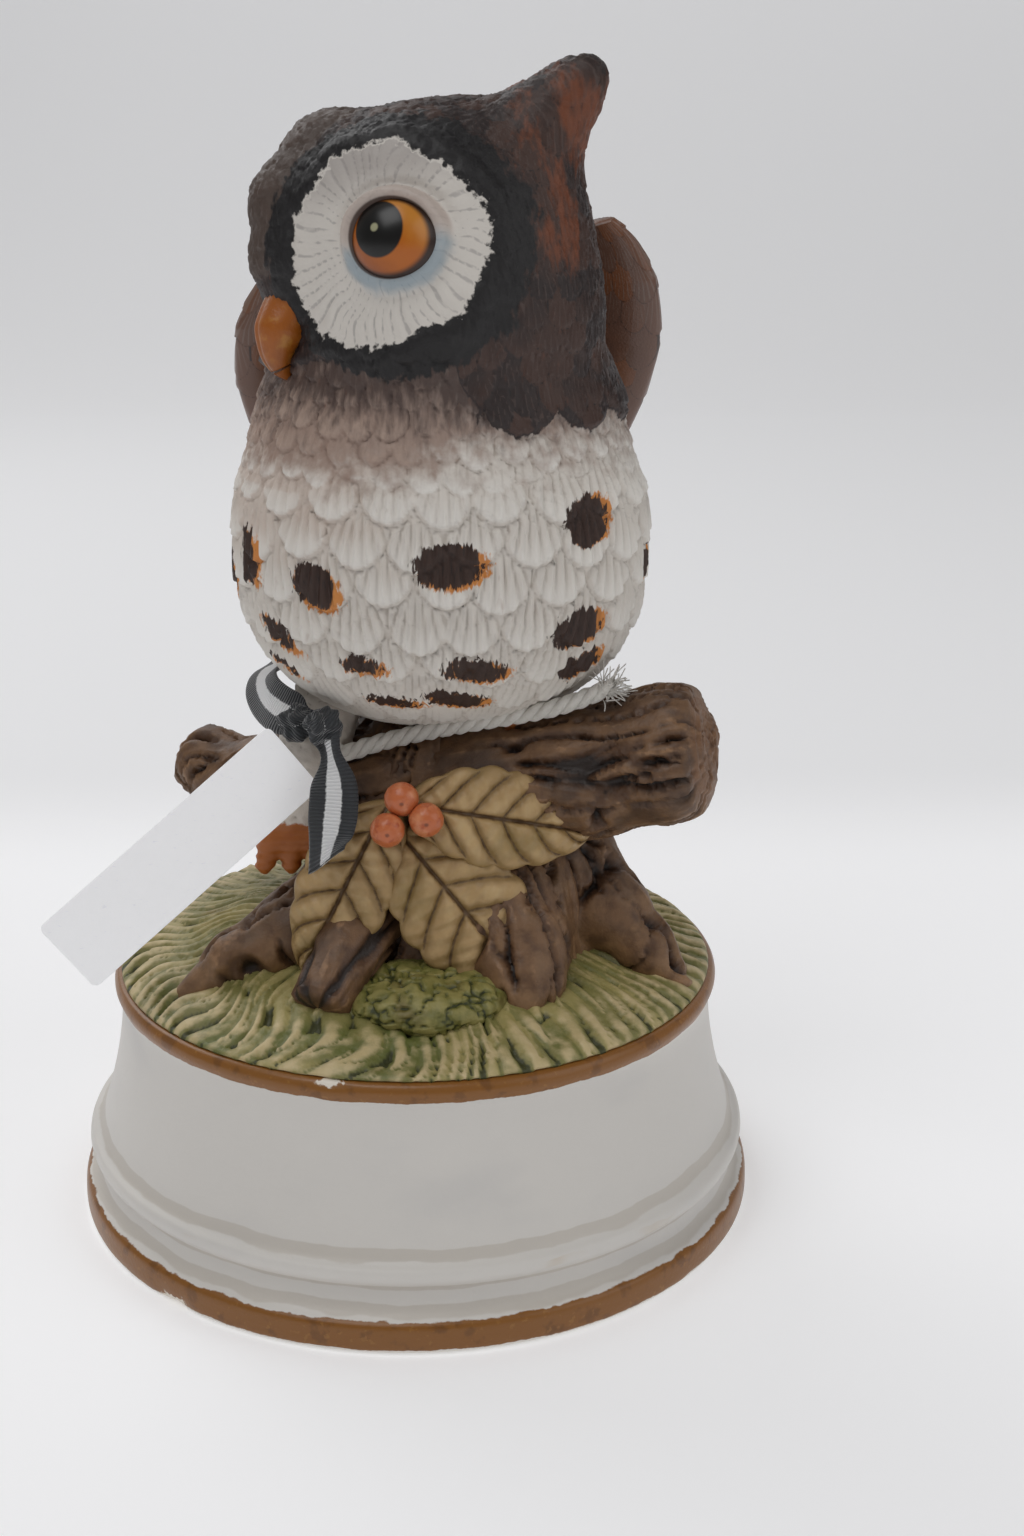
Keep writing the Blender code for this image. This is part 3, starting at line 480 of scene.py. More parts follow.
def make_backdrop():
    """A pale floor that sweeps up into a wall behind the owl."""
    reach, back, bend, tall = 1.6, 0.75, 0.25, 1.6
    turns = np.linspace(0, math.pi / 2, 16)
    profile = [(-reach, 0.0)]
    profile += [(back + bend * math.sin(t), bend * (1 - math.cos(t))) for t in turns]
    profile += [(back + bend, tall)]
    points = [(x, y, z) for y, z in profile for x in (-reach, reach)]
    mesh = bpy.data.meshes.new("backdrop")
    mesh.from_pydata(points, [], grid_faces(len(profile), 2, False).tolist())
    mesh.shade_smooth()
    glow = {"emission_color": (1, 1, 1, 1), "emission_strength": 0.31}
    paint = Paint("backdrop_paper", (226, 226, 228), 0.9, **glow)
    paint.layer((186, 186, 188), paint.grain(700.0), -0.1, 0.3, 0.15)
    # Painted shade: the paper is painted darker from 115 to 190 mm back, where the wall rises away from the
    # lamps.
    depth = paint.both(paint.node("SeparateXYZ", 1, {0: paint.place}), 1000.0)
    paint.layer((190, 190, 192), depth, 115.0, 190.0, 0.7)
    mesh.materials.append(paint.done())
    backdrop = bpy.data.objects.new("backdrop", mesh)
    bpy.context.scene.collection.objects.link(backdrop)


def make_world():
    world = bpy.data.worlds.new("studio")
    world.use_nodes = True
    sky = world.node_tree.nodes["Background"]
    sky.inputs["Color"].default_value = SKY_COLOUR
    sky.inputs["Strength"].default_value = SKY_STRENGTH
    bpy.context.scene.world = world
    bpy.context.scene.view_settings.view_transform = "Standard"
    for name, (place, size, power) in LIGHTS.items():
        make_light(name, place, size, power)


# --- twine, ribbon and tag -----------------------------------------------------------------------

STRAND_OFFSET, STRAND_R, STRAND_PITCH, STRAND_COUNT = 0.56, 0.64, 6.0, 3
HAIR_R, HAIR_COUNT = 0.075, 110  # the fray at the twine's end
CORD_UP = (0.0, -0.5, 0.85)
TWINE_ROUTE = (
    (-12.0, -14.0, 70.6), (-10.9, -12.4, 68.2), (-9.0, -11.2, 67.2), (-6.0, -10.8, 68.0),
    (-2.0, -11.2, 69.2), (3.2, -12.4, 70.7), (8.5, -13.5, 72.0), (13.2, -14.5, 73.1),
    (17.5, -15.2, 74.2), (21.4, -15.6, 75.6), (25.2, -15.8, 77.3),
)
RIBBON_W, RIBBON_T = 6.2, 0.22
RIBBON_ROUTE = (
    (-8.0, 16.4, 74.4), (-12.8, 13.2, 74.6), (-16.8, 8.6, 74.8), (-19.4, 3.0, 74.8),
    (-20.3, -2.4, 74.5), (-19.6, -7.2, 73.8), (-17.6, -11.2, 73.2), (-15.0, -13.6, 72.9),
    (-12.6, -15.2, 72.8), (-11.3, -17.2, 71.4), (-10.6, -19.2, 68.6), (-10.3, -21.4, 65.0),
    (-10.6, -23.4, 61.2), (-11.3, -25.0, 57.2),
)
RIBBON_KNOTS = {"ribbon_knot_1": (-15.2, -14.6, 72.2), "ribbon_knot_2": (-11.6, -17.0, 72.6)}
KNOT_R = (2.5, 2.3, 1.9)  # half its length, width and thickness
TAG_TOP, TAG_FOOT = vec(-15.4, -16.6, 68.4), vec(-43.8, -28.0, 45.8)
TAG_W, TAG_T, TAG_CORNER = 10.6, 0.35, 0.9


def length_of(path):
    return float(np.linalg.norm(np.diff(path, axis=0), axis=1).sum())


def strands(path, radius, thick, pitch, count):
    """Rings of each of a cord's twisted strands, and how deep each point lies between them."""
    _, side, top = frames(path, CORD_UP)
    run = np.linspace(0, length_of(path), len(path))
    around = circle(10)
    for k in range(count):
        turn = 2 * math.pi * (run / pitch + k / count)
        out = side * np.cos(turn)[:, None] + top * np.sin(turn)[:, None]
        middle = path + radius * out
        _, across, up = frames(middle, CORD_UP)
        ring = hoops(across, up, around)
        lay = np.sin(7 * around[None, :] + run[:, None] * 5) * 0.035
        deep = ease(0.2, -0.9, (ring * out[:, None]).sum(-1))
        yield middle[:, None] + ring * (thick + lay)[..., None], deep


def make_twine(cotton):
    path = curve(TWINE_ROUTE, 240)
    rings, hollow = zip(*strands(path, STRAND_OFFSET, STRAND_R, STRAND_PITCH, STRAND_COUNT))
    points, faces = joined(rings)
    twine = piece("twine", points, faces, cotton, "cotton_twine", ["twine"], hollow=np.concatenate(hollow))
    fray = make_fray(path[-1], unit(path[-1] - path[-8]), cotton)


def make_fray(start, ahead, cotton):
    """The loose fibres at the twine's cut end."""
    hairs = []
    draw = np.random.default_rng(5)
    for _ in range(HAIR_COUNT):
        aim = unit(ahead * 0.8 + draw.normal(size=3) * 0.55 + vec(0, -0.1, 0.1))
        bend = draw.normal(size=3) * 0.9
        s = np.linspace(0, 1, 7)[:, None]
        line = start - ahead + draw.normal(size=3) * 0.45 + aim * s * draw.uniform(0.8, 2.6) + bend * s ** 2
        _, side, top = frames(line, (0.1, 0.3, 1.0))
        hairs.append(line[:, None] + HAIR_R * hoops(side, top, circle(4)))
    points, faces = joined(hairs)
    return piece("twine_fray", points, faces, cotton, "cotton_twine", hollow=np.zeros(len(points)))


def make_ribbon(silk):
    """A flat ribbon that comes round behind the owl, is knotted twice and hangs in one twisted tail."""
    count, half = 220, RIBBON_W / 2
    path = curve(RIBBON_ROUTE, count)
    ahead, side, top = frames(path, (-0.5, -0.75, 0.45))
    s = np.linspace(0, 1, count)
    turn = 0.5 * ease(0.76, 0.86, s) - 0.7 * ease(0.86, 1.0, s)
    wide = side * np.cos(turn)[:, None] + top * np.sin(turn)[:, None]
    thin = np.cross(wide, ahead)
    narrow = 1 - 0.62 * bell(s - 0.655, 0.035) - 0.45 * bell(s - 0.76, 0.05)
    across = np.concatenate([np.linspace(-1, 1, 25), np.linspace(1, -1, 25)])
    face = np.repeat([1.0, -1.0], 25) * RIBBON_T * np.minimum(1, 8 * (1.02 - np.abs(across)))
    curl = 0.45 * np.sin(across * 2.2)[None, :] * np.sin(s * 23)[:, None]
    rings = path[:, None] + wide[:, None] * (across * half)[:, None] * narrow[:, None, None]
    rings += thin[:, None] * (face[None, :] + curl)[..., None]
    rings += ahead[:, None] * (ease(0.93, 1.0, s)[:, None] * across * 1.9)[..., None]
    run = np.repeat(s * length_of(path), len(across))
    edge = np.tile(np.abs(across), count)
    marks = {"along": run, "across": edge, "pale": (edge < 0.32)}
    ribbon = tube("ribbon", rings, silk, "black_ribbon", ["ribbon"], **marks)
    knots = [make_knot(name, vec(*at), silk) for name, at in RIBBON_KNOTS.items()]


def make_knot(name, centre, silk):
    """A small tight knot: the ribbon's folds drawn together."""
    lean = unit(vec(0.55, -0.2, 0.8)) if name.endswith("1") else unit(vec(-0.6, -0.3, 0.7))
    side = unit(np.cross(lean, (0.0, -1.0, 0.2)))
    out = np.cross(side, lean)
    t = np.linspace(0.04, 0.96, 34)[:, None] * math.pi
    a = circle(44)[None, :]
    pinch = 1 + 0.17 * np.sin(3 * a + 4 * t) + 0.10 * np.sin(5 * a - 7 * t)
    wide = np.sin(t) * pinch
    long, broad, thick = KNOT_R
    rings = centre + lean * (-long * np.cos(t) * (1 + 0.1 * np.sin(2 * a)))[..., None]
    rings = rings + side * (broad * wide * np.cos(a))[..., None] + out * (thick * wide * np.sin(a))[..., None]
    fold = np.abs(np.sin(1.5 * a + 2.2 * t)).ravel()
    along = (t * 3 + 0 * a).ravel()
    return tube(name, rings, silk, "black_ribbon", along=along, across=0.25 + fold, pale=fold * 0)


def make_tag(card):
    """A blank card tag with round corners and a slight curl."""
    along = TAG_FOOT - TAG_TOP
    length = np.linalg.norm(along)
    along = along / length
    across = vec(0.51, 0.0, -0.86)
    across = unit(across - along * (across @ along))
    face = np.cross(across, along)
    arc = TAG_CORNER * (1 - np.cos(np.linspace(0, math.pi / 2, 8)))
    y = np.concatenate([arc, np.linspace(3, length - 3, 30), length - arc[::-1]])
    end = np.maximum(TAG_CORNER - np.minimum(y, length - y), 0)
    half = TAG_W / 2 - TAG_CORNER + np.sqrt(TAG_CORNER ** 2 - end ** 2)
    t = np.concatenate([[-1, -0.985], np.linspace(-0.9, 0.9, 9), [0.985, 1]])
    t, side = np.concatenate([t, t[::-1]]), np.repeat([-0.5, 0.5], len(t)) * TAG_T
    share = y[:, None] / length
    rise = side[None, :] + 0.5 * (share - 0.5) ** 2 - 0.25 * t[None, :] ** 2 * share
    rings = TAG_TOP + along * y[:, None, None] + across * (half[:, None] * t)[..., None]
    tube("price_tag", rings + face * rise[..., None], card, "white_card", ["price_tag"])


# --- owl -----------------------------------------------------------------------------------------

BODY_C, BODY_R = vec(3.6, 0, 93.8), vec(26.9, 25.4, 24.6)
NECK_C, NECK_R = vec(3.3, 0, 112), vec(21.9, 20, 14)
HEAD_C, HEAD_R = vec(2.6, -1, 126.5), vec(21.5, 19.0, 21.4)
HEAD_YAW, HEAD_PITCH, HEAD_ROLL = -68.0, 8.0, 9.5
HEAD_FRAME = turned(("Z", HEAD_YAW), ("Y", -HEAD_ROLL), ("X", HEAD_PITCH))
TUFT = ((12.0, 8.4, 11.0), (15.2, 12.4, 15.8), (17.4, 15.4, 18.4), (18.8, 16.6, 19.6))  # head's own axes
TUFT_R = (5.6, 4.3, 2.9, 2.1)
TUFT_LOW = vec(1.0, 0.8, 0.8)  # the owl's right tuft is the smaller one
EYE = vec(18.3, -11.9, 5.8)
EYE_OUT = unit(vec(0.762, -0.595, 0.256))
EYE_SIDE = unit(np.cross((0, 0, 1), EYE_OUT))
EYE_UP = np.cross(EYE_OUT, EYE_SIDE)
EYE_R, EYE_DEPTH = 5.9, 3.9
DISC_R = 12.3
RIDGE = ((0, -10.5, 17.0), (0, -16.4, 12.0), (0, -18.4, 6.0), (0, -18.0, 1.5))  # between the eyes
RIDGE_R = (5.0, 4.6, 4.0, 3.4)
LID_W, LID_H, LID_DROP = 5.0, 4.45, 0.6
BREAST_W, BREAST_DROP = 7.8, 5.0  # the width of a feather and the height of a row
THROAT_W, THROAT_DROP = 4.4, 3.2
CROWN_W, CROWN_DROP = 3.6, 3.0
OWL_LOW, OWL_HIGH, OWL_STEP = (-27, -29, 65), (36, 30, 157), 0.42
OWL_SLOTS = {
    "owl_body": "white_bisque",
    "owl_head": "feather_paint",
    "ear_tuft_left": "feather_paint",
    "ear_tuft_right": "feather_paint",
}
SPOTS = (  # azimuth from the front in degrees, height, width, height of the spot, lean in degrees
    (-61, 94, 4.6, 7.5, 10), (-36, 92, 6.4, 5.6, -25), (1, 95, 8.6, 5.6, 5), (41, 99.5, 6.8, 6.4, 30),
    (39, 86, 7.4, 5.2, 20), (72, 92, 5, 5, 20), (-52, 85, 7, 3.4, -35), (-56, 80, 5, 2.4, -35),
    (-25, 82, 5.6, 2.6, -5), (9, 81.5, 8, 3.8, -5), (4, 77, 8, 3.4, -10), (45, 80.5, 6, 4.2, 35),
    (-19, 76.5, 7, 2.6, -10), (-80, 90, 5, 6, 0), (100, 84, 7, 5, 10), (82, 76, 6, 4, 15),
    (-86, 80, 6, 4, -10), (-112, 86, 7, 5, 0), (118, 76, 7, 4, 0), (-118, 76, 6, 4, 0),
)


def to_head(p):
    """Points in the head's own axes: X its left, -Y its beak, Z its crown."""
    return (p - HEAD_C) @ HEAD_FRAME


def from_head(q):
    return HEAD_C + q @ HEAD_FRAME.T


def owl_parts(p):
    """The fields of the body, head, left tuft and right tuft."""
    q = to_head(p)
    body = merge(blob(p, BODY_C, BODY_R, 2.3), blob(p, NECK_C, NECK_R), 7.0)
    left = limb(q, TUFT, TUFT_R, 3.0)
    right = limb(q * vec(-1, 1, 1), [vec(*t) * TUFT_LOW for t in TUFT], TUFT_R, 3.0)
    head = merge(blob(q, vec(0, 0, 0), HEAD_R, 2.7), limb(q, RIDGE, RIDGE_R, 2.0), 4.0)
    return body, head, left, right


def owl_field(p):
    body, head, left, right = owl_parts(p)
    return merge(merge(merge(head, left, 5.0), right, 5.0), body, 4.0)


def on_breast(azimuth, height):
    """The point of the owl's surface in that direction from its axis, and its outward direction."""
    turn = math.radians(azimuth)
    low, high = 0.0, 40.0
    for _ in range(30):
        reach = (low + high) / 2
        point = vec(BODY_C[0] + reach * math.sin(turn), -reach * math.cos(turn), height)
        low, high = (reach, high) if owl_field(point[None])[0] < 0 else (low, reach)
    return point, unit(slope_of(owl_field, point[None]))[0]


def spot_marks(p):
    """How far inside the nearest painted spot, and its orange underpaint, each point lies."""
    dark, under = np.full(len(p), -9.0), np.full(len(p), -9.0)
    for azimuth, height, wide, tall, lean in SPOTS:
        centre, out = on_breast(azimuth, height)
        side = unit(np.cross((0, 0, 1), out))
        up = np.cross(out, side)
        turn = math.radians(lean)
        side, up = side * math.cos(turn) + up * math.sin(turn), up * math.cos(turn) - side * math.sin(turn)
        x, y = (p - centre) @ side, (p - centre) @ up
        near = np.abs((p - centre) @ out) < 6
        square = (np.abs(x / (wide / 2)) ** 2.6 + np.abs(y / (tall / 2)) ** 2.6) ** (1 / 2.6)
        inner = (1 - square) * min(wide, tall) / 2
        outer = (1 - np.hypot((x - 0.8) / (wide / 2 + 0.4), (y + 0.4) / (tall / 2))) * min(wide, tall) / 2
        dark = np.where(near, np.maximum(dark, inner), dark)
        under = np.where(near, np.maximum(under, outer), under)
    return dark, under


def owl_relief(p):
    """The height of the feathers over the plain form, and the marks that the paint reads."""
    q = to_head(p)
    body, head, left, right = owl_parts(p)
    azimuth = np.arctan2(p[:, 0] - BODY_C[0], -p[:, 1])
    rho = np.hypot(p[:, 0] - BODY_C[0], p[:, 1])
    z = p[:, 2]
    yaw = math.radians(HEAD_YAW)
    away = np.degrees(np.abs((azimuth - yaw + math.pi) % (2 * math.pi) - math.pi))
    headness = ease(-2.5, 2.5, body - np.minimum(head, np.minimum(left, right)))

    m = q.copy()
    m[:, 0] = np.abs(q[:, 0])
    a, b = (m - EYE) @ EYE_SIDE, (m - EYE) @ EYE_UP
    front = (m @ EYE_OUT > 8) & (headness > 0.02)
    r, theta = np.hypot(a + 1.8, (b + 0.5) * 1.08), np.arctan2(b + 0.5, a + 1.8)
    warp = 2.4 * noise(q, 3.4, 3) + 0.04 * r ** 1.5
    fold = np.abs(np.cos(23 * theta + warp))
    disc = np.where(front, DISC_R + 0.25 * fold + 0.8 * noise(q, 2.6, 4) - r, -20.0)
    rim = 4.1 + 1.2 * np.cos(theta - 1.0) + 1.6 * bell(theta + 1.2, 0.7)
    ring = np.where(front, rim + disc, -20.0)
    lid = np.hypot(a / LID_W, (b + LID_DROP) / LID_H)

    lobes = 3.4 * np.sqrt(np.abs(np.cos(azimuth * 24 * math.pi / 10.5)))
    low_border = 113.2 - lobes - 40 * ease(112, 142, np.degrees(np.abs(azimuth)))  # lower down the back
    border = away - 80 + 0.9 * (z - 110) + 3.0 * noise(p, 3.0, 12)
    cape = np.minimum(border * 0.42, z - low_border)
    dark = np.maximum(cape, q[:, 2] + 6.8 + 0.7 * noise(p, 2.5, 8))

    u, v = azimuth / (2 * math.pi) * 22 * BREAST_W, 25 * np.arctan2(z - BODY_C[2], rho)
    breast, breast_rib, pick = scales(u, v, BREAST_W, BREAST_DROP, 11)
    v = z + 1.5 * noise(p, 9.0, 2)
    throat, throat_rib, throat_pick = scales(azimuth * 24, v, THROAT_W, THROAT_DROP, 21)
    az, el = np.arctan2(q[:, 0], -q[:, 1]), np.arctan2(q[:, 2], np.hypot(q[:, 0], q[:, 1]))
    crown, crown_rib, crown_pick = scales(az * 19, el * 22, CROWN_W, CROWN_DROP, 31)

    throat_share = ease(101.5, 106.5, z + 2.2 * noise(p, 8.0, 6))
    soft = 0.25 + 0.75 * ease(70, 86, z)
    plump = 1.05 * (breast - 0.5) + 0.36 * breast_rib + 0.25 * noise(p, 5.0, 16)
    height = (1 - throat_share) * soft * plump
    height += throat_share * (0.8 * (throat - 0.5) + 0.12 * throat_rib)
    dark_share = ease(-0.2, 0.7, dark)
    plume = 0.42 * (crown - 0.5) + 0.11 * crown_rib + 0.16 * fractal(q * vec(1, 1, 0.35), 1.6, 5)
    height = height * (1 - dark_share) + dark_share * (plume + 0.85 * (1 - headness) + 0.1)
    inside = ease(-0.3, 0.5, disc)
    outwards = ease(1.12, 1.7, lid) * (0.5 + 0.5 * ease(4, 12, r))
    ribs = (2 * fold - 1) * (0.13 + 0.1 * noise(q, 3.0, 14)) * outwards
    face = ribs - 0.9 * ease(0, 4.5, disc) + 0.5 * ease(1.5, 1.15, lid)
    upper = 0.35 + 0.65 * ease(-2, 4, b)
    face += upper * (1.5 * bell(lid * 5 - 5.8, 0.9) - 0.45 * bell(lid * 5 - 7.6, 0.6))
    height = height * (1 - inside) + face * inside
    height += 0.55 * bell(disc + 1.3, 1.5) * front
    tufted = ease(1.5, -1.5, np.minimum(left, right) - head)

    spot, under = spot_marks(p)
    wedge = ease(7.5, 4.5, m[:, 0]) * ease(-4, -9, q[:, 1]) * ease(2, 6, q[:, 2])
    side_patch = ease(13.0, 16.5, a) * ease(-7, -2, b) * ease(17, 10, b) * front
    rust = np.clip(tufted + side_patch, 0, 1) * ease(-0.35, 0.25, fractal(q * vec(1, 1, 0.45), 3.4, 9))
    on_crown, on_throat = dark_share > 0.5, throat_share > 0.5
    marks = {
        "relief": np.where(on_crown, crown, np.where(on_throat, throat, breast)),
        "rib": np.where(inside > 0.5, 2 * fold - 1, np.where(on_crown, crown_rib, breast_rib)),
        "pick": np.where(on_crown, crown_pick, np.where(on_throat, throat_pick, pick)),
        "disc": disc, "ring": ring, "lid": lid, "dark": dark, "spot": spot, "under": under,
        "rust": rust, "wedge": wedge, "up": b, "out": a,
        "throat": ease(98, 113, z) * (1 - 0.4 * ease(45, 85, away)),
        "chin": ease(103, 119, z + 1.5 * noise(p, 4.0, 18)),
        "blush": ease(84, 106, z) * ease(20, -50, np.degrees(azimuth)),
    }
    return height, marks, np.argmin([body, head, left, right], axis=0)


def make_owl(porcelain):
    points, normals, quads = contour(owl_field, OWL_LOW, OWL_HIGH, OWL_STEP)
    height, marks, label = owl_relief(points)
    points = points + normals * height[:, None]
    normals = smooth_normals(points, quads)
    owner = label[quads].max(1)
    for k, (name, slot) in enumerate(OWL_SLOTS.items()):
        mine = quads[owner == k]
        used, faces = np.unique(mine, return_inverse=True)
        own = {mark: values[used] for mark, values in marks.items()}
        faces = faces.reshape(mine.shape)
        piece(name, points[used], faces, porcelain, slot, [name], normals=normals[used], **own)


def owl_paint():
    paint = Paint("owl_porcelain", (216, 209, 200), 0.5)
    mottle = paint.grain(5.0)
    # Painted shade: darker in the hollows between the feathers and between their ribs.
    paint.layer((158, 145, 132), "relief", 0.5, 0.1, 0.75)
    paint.layer((170, 159, 147), "rib", -0.1, -0.9, 0.4)
    # Painted shade: a darker, mottled beige over the upper left of the body, as seen from the front.
    paint.layer((202, 182, 168), paint.math("ADD", "blush", mottle), 0.1, 1.0, 0.6)
    # Painted highlight: paler on the raised feathers.
    paint.layer((232, 228, 221), "relief", 0.62, 0.95, 0.8)
    # throat: beige to mauve, with darker strokes under the chin
    throat = paint.rough("throat", 2.2, 0.9)
    paint.layer((146, 120, 106), throat, 0.2, 0.75, 0.85)
    # Painted highlight: paler on the raised throat feathers.
    paint.layer((180, 156, 140), paint.both(throat, "relief"), 0.45, 0.85, 0.6)
    paint.layer((64, 47, 42), paint.rough("chin", 1.0, 1.1, (1, 1, 0.3)), 0.2, 0.95, 0.92)
    # Painted shade: darker in the hollows between the throat feathers.
    paint.layer((52, 38, 34), paint.both(throat, paint.share("relief", 0.45, 0.15)), 0.4, 1.0, 0.45)
    # dark crown, cape and sides
    dark = paint.rough("dark", 1.0, 1.6, (1, 1, 0.35))
    paint.layer((40, 28, 26), dark, -0.15, 0.15)
    inner = paint.share(dark, 0.0, 0.4)
    warm = paint.rough("pick", 6.0, 1.6)
    paint.layer((72, 48, 38), paint.both(inner, warm), 0.3, 0.9, 0.75)
    # Painted shade darkens the hollows between the crown feathers, and a painted highlight greys their raised
    # ribs.
    paint.layer((22, 16, 16), paint.both(inner, paint.share("relief", 0.55, 0.2)), 0.2, 1.0, 0.85)
    paint.layer((80, 65, 60), paint.both(inner, paint.share("rib", 0.1, 0.9)), 0.3, 1.0, 0.45)
    paint.layer((122, 64, 32), paint.rough("rust", 0.8, 2.2, (1, 1, 0.35)), 0.2, 1.3, 0.75)
    paint.layer((84, 70, 62), paint.rough("wedge", 1.2, 0.8), 0.4, 0.8, 0.8)
    paint.layer((20, 17, 18), paint.rough("ring", 1.0, 3.4, (1, 1, 0.5)), -0.1, 0.6)
    # the face disc
    disc = paint.rough("disc", 0.8, 1.7)
    paint.layer((212, 206, 198), disc, -0.05, 0.3)
    face = paint.share(disc, 0.2, 0.6)
    # Painted shade: grey in the hollows between the disc's ribs, and grey over the top of the disc as a
    # shadow under the brow.
    upper = paint.share("up", 2.0, 13.0)
    between = paint.share(paint.rough("rib", 2.0, 1.5), 0.2, -0.9)
    paint.layer((150, 145, 143), paint.both(face, between), 0.1, 1.0, 0.55)
    paint.layer((152, 144, 140), paint.both(face, upper), 0.0, 0.8, 0.65)
    halo = paint.both(paint.share("lid", 1.75, 1.1), paint.share("up", 3.0, -3.0))
    paint.layer((132, 152, 164), paint.rough(halo, 2.0, 0.8), 0.2, 1.0, 0.75)
    over = paint.both(paint.share("lid", 1.55, 1.38), paint.share("up", -2.5, 1.5))
    paint.layer((186, 170, 160), over, 0.0, 1.0, 0.8)
    paint.layer((60, 36, 24), paint.share("lid", 1.06, 1.0), 0.0, 1.0, 0.9)
    # the breast spots
    under = paint.rough("under", 0.7, 2.0, (1.6, 1.6, 0.7))
    paint.layer((206, 128, 44), under, -0.1, 0.35, 0.95)
    spot = paint.rough("spot", 0.8, 2.6, (1.6, 1.6, 0.4))
    paint.layer((58, 38, 29), spot, 0.0, 0.3)
    streaks = paint.grain(0.5, (1.6, 1.6, 0.3))
    paint.layer((32, 22, 19), paint.both(paint.share(spot, 0.1, 0.5), streaks), 0.0, 0.25, 0.8)
    gloss = paint.math("SUBTRACT", 0.6, paint.both(inner, 0.06))
    return paint.done(paint.grain(0.3), 0.05, gloss)


def make_eyes(glass):
    for name, side in (("eyeball_left", 1), ("eyeball_right", -1)):
        flip = vec(side, 1, 1)
        centre = EYE - EYE_OUT * EYE_DEPTH
        gaze = unit(EYE_OUT * 5.4 - EYE_SIDE * 0.9 * side + EYE_UP * 0.35)
        across = unit(np.cross(EYE_UP, gaze))
        up = np.cross(gaze, across)
        t = np.radians(np.concatenate([np.linspace(0.5, 75, 60), np.linspace(80, 179, 10)]))[:, None, None]
        turn = circle(72)[None, :, None]
        out = gaze * np.cos(t) + (across * np.cos(turn) + up * np.sin(turn)) * np.sin(t)
        rings = from_head((centre + EYE_R * out) * flip)
        if side < 0:
            rings = rings[:, ::-1]
        local = (EYE_R * out).reshape(-1, 3)
        x, y = local @ across, local @ up
        pupil = 1 - np.hypot(x / 3.05, y / 3.25)
        spark = 1 - np.hypot(x + 0.2, y - 0.05) / 0.62
        rim = np.hypot(local @ EYE_SIDE / LID_W, (local @ EYE_UP + LID_DROP) / LID_H)
        marks = {"pupil": pupil, "spark": spark, "light": x * 0.6 + y * 0.5, "rim": rim}
        tube(name, rings, glass, "feather_paint", **marks)


def eye_paint():
    paint = Paint("eye_glaze", (196, 112, 22), 0.3, (0.8, 0.7, 0.4))
    # Painted light and painted shade: the iris is paler towards its upper side and darker towards its lower
    # side.
    paint.layer((216, 152, 72), paint.rough("light", 1.5, 1.2), 0.2, 3.2, 0.9)
    paint.layer((150, 78, 22), paint.rough("light", 1.2, 1.0), -1.0, -3.4, 0.7)
    paint.layer((46, 24, 14), "rim", 0.84, 0.97)
    paint.layer((10, 9, 11), "pupil", -0.05, 0.03)
    paint.layer((176, 184, 190), "spark", 0.0, 0.45)
    return paint.done()


def limb_rings(route, radii, count, around, flatten, up, relief):
    """Rings of a tapering limb with its relief, and each point's place along it from 0 to 1."""
    path = curve(route, count)
    _, side, top = frames(path, np.array(up, float))
    s, a = np.meshgrid(np.linspace(0, 1, count), circle(around), indexing="ij")
    out = hoops(side, top, a, flatten)
    reach = spread(radii, count)[:, None] * np.ones_like(a)
    rings = path[:, None] + out * reach[..., None]
    return rings + unit(out) * relief(s, a, rings)[..., None], s


BEAK = ((-16.6, 1.4), (-19.4, -0.6), (-21.5, -3.2), (-22.1, -6.2), (-21.2, -8.8))  # in the head's Y and Z
BEAK_R = (4.0, 4.0, 3.5, 2.1, 0.3)


def make_beak(horn):
    route = [from_head(vec(0, y, z)) for y, z in BEAK]
    rings, s = limb_rings(
        route, BEAK_R, 60, 40, 0.92, HEAD_FRAME @ vec(0, -0.3, 1),
        lambda s, a, p: 0.12 * noise(p, 2.0, 4) - 0.35 * bell(np.cos(a), 0.12) * (s > 0.25),
    )
    tube("beak", rings, horn, "beak_paint", ["beak"], tip=s)


def beak_paint():
    paint = Paint("beak_glaze", (196, 118, 36), 0.38, (0.6, 0.5, 0.3))
    paint.layer((226, 168, 84), paint.grain(2.0), 0.0, 0.25, 0.8)
    paint.layer((166, 98, 36), paint.rough("tip", 1.5, 0.8), 0.55, 1.0, 0.6)
    paint.layer((58, 40, 30), paint.rough("tip", 0.8, 0.4), 0.16, 0.05, 0.9)
    return paint.done(paint.grain(0.4), 0.05)


WINGS = {  # shoulder, bend, tip
    "wing_left": ((24.5, 14.5, 133.0), (33.5, 20.0, 119.0), (5.0, 29.5, 80.0)),
    "wing_right": ((-16.0, 15.5, 126.0), (-22.6, 20.5, 118.0), (1.0, 29.5, 80.0)),
}
WING_RADII, WING_FLATNESS = (2.6, 6.8, 8.8, 9.2, 9.0, 8.4, 7.0, 4.6, 1.4), 0.38


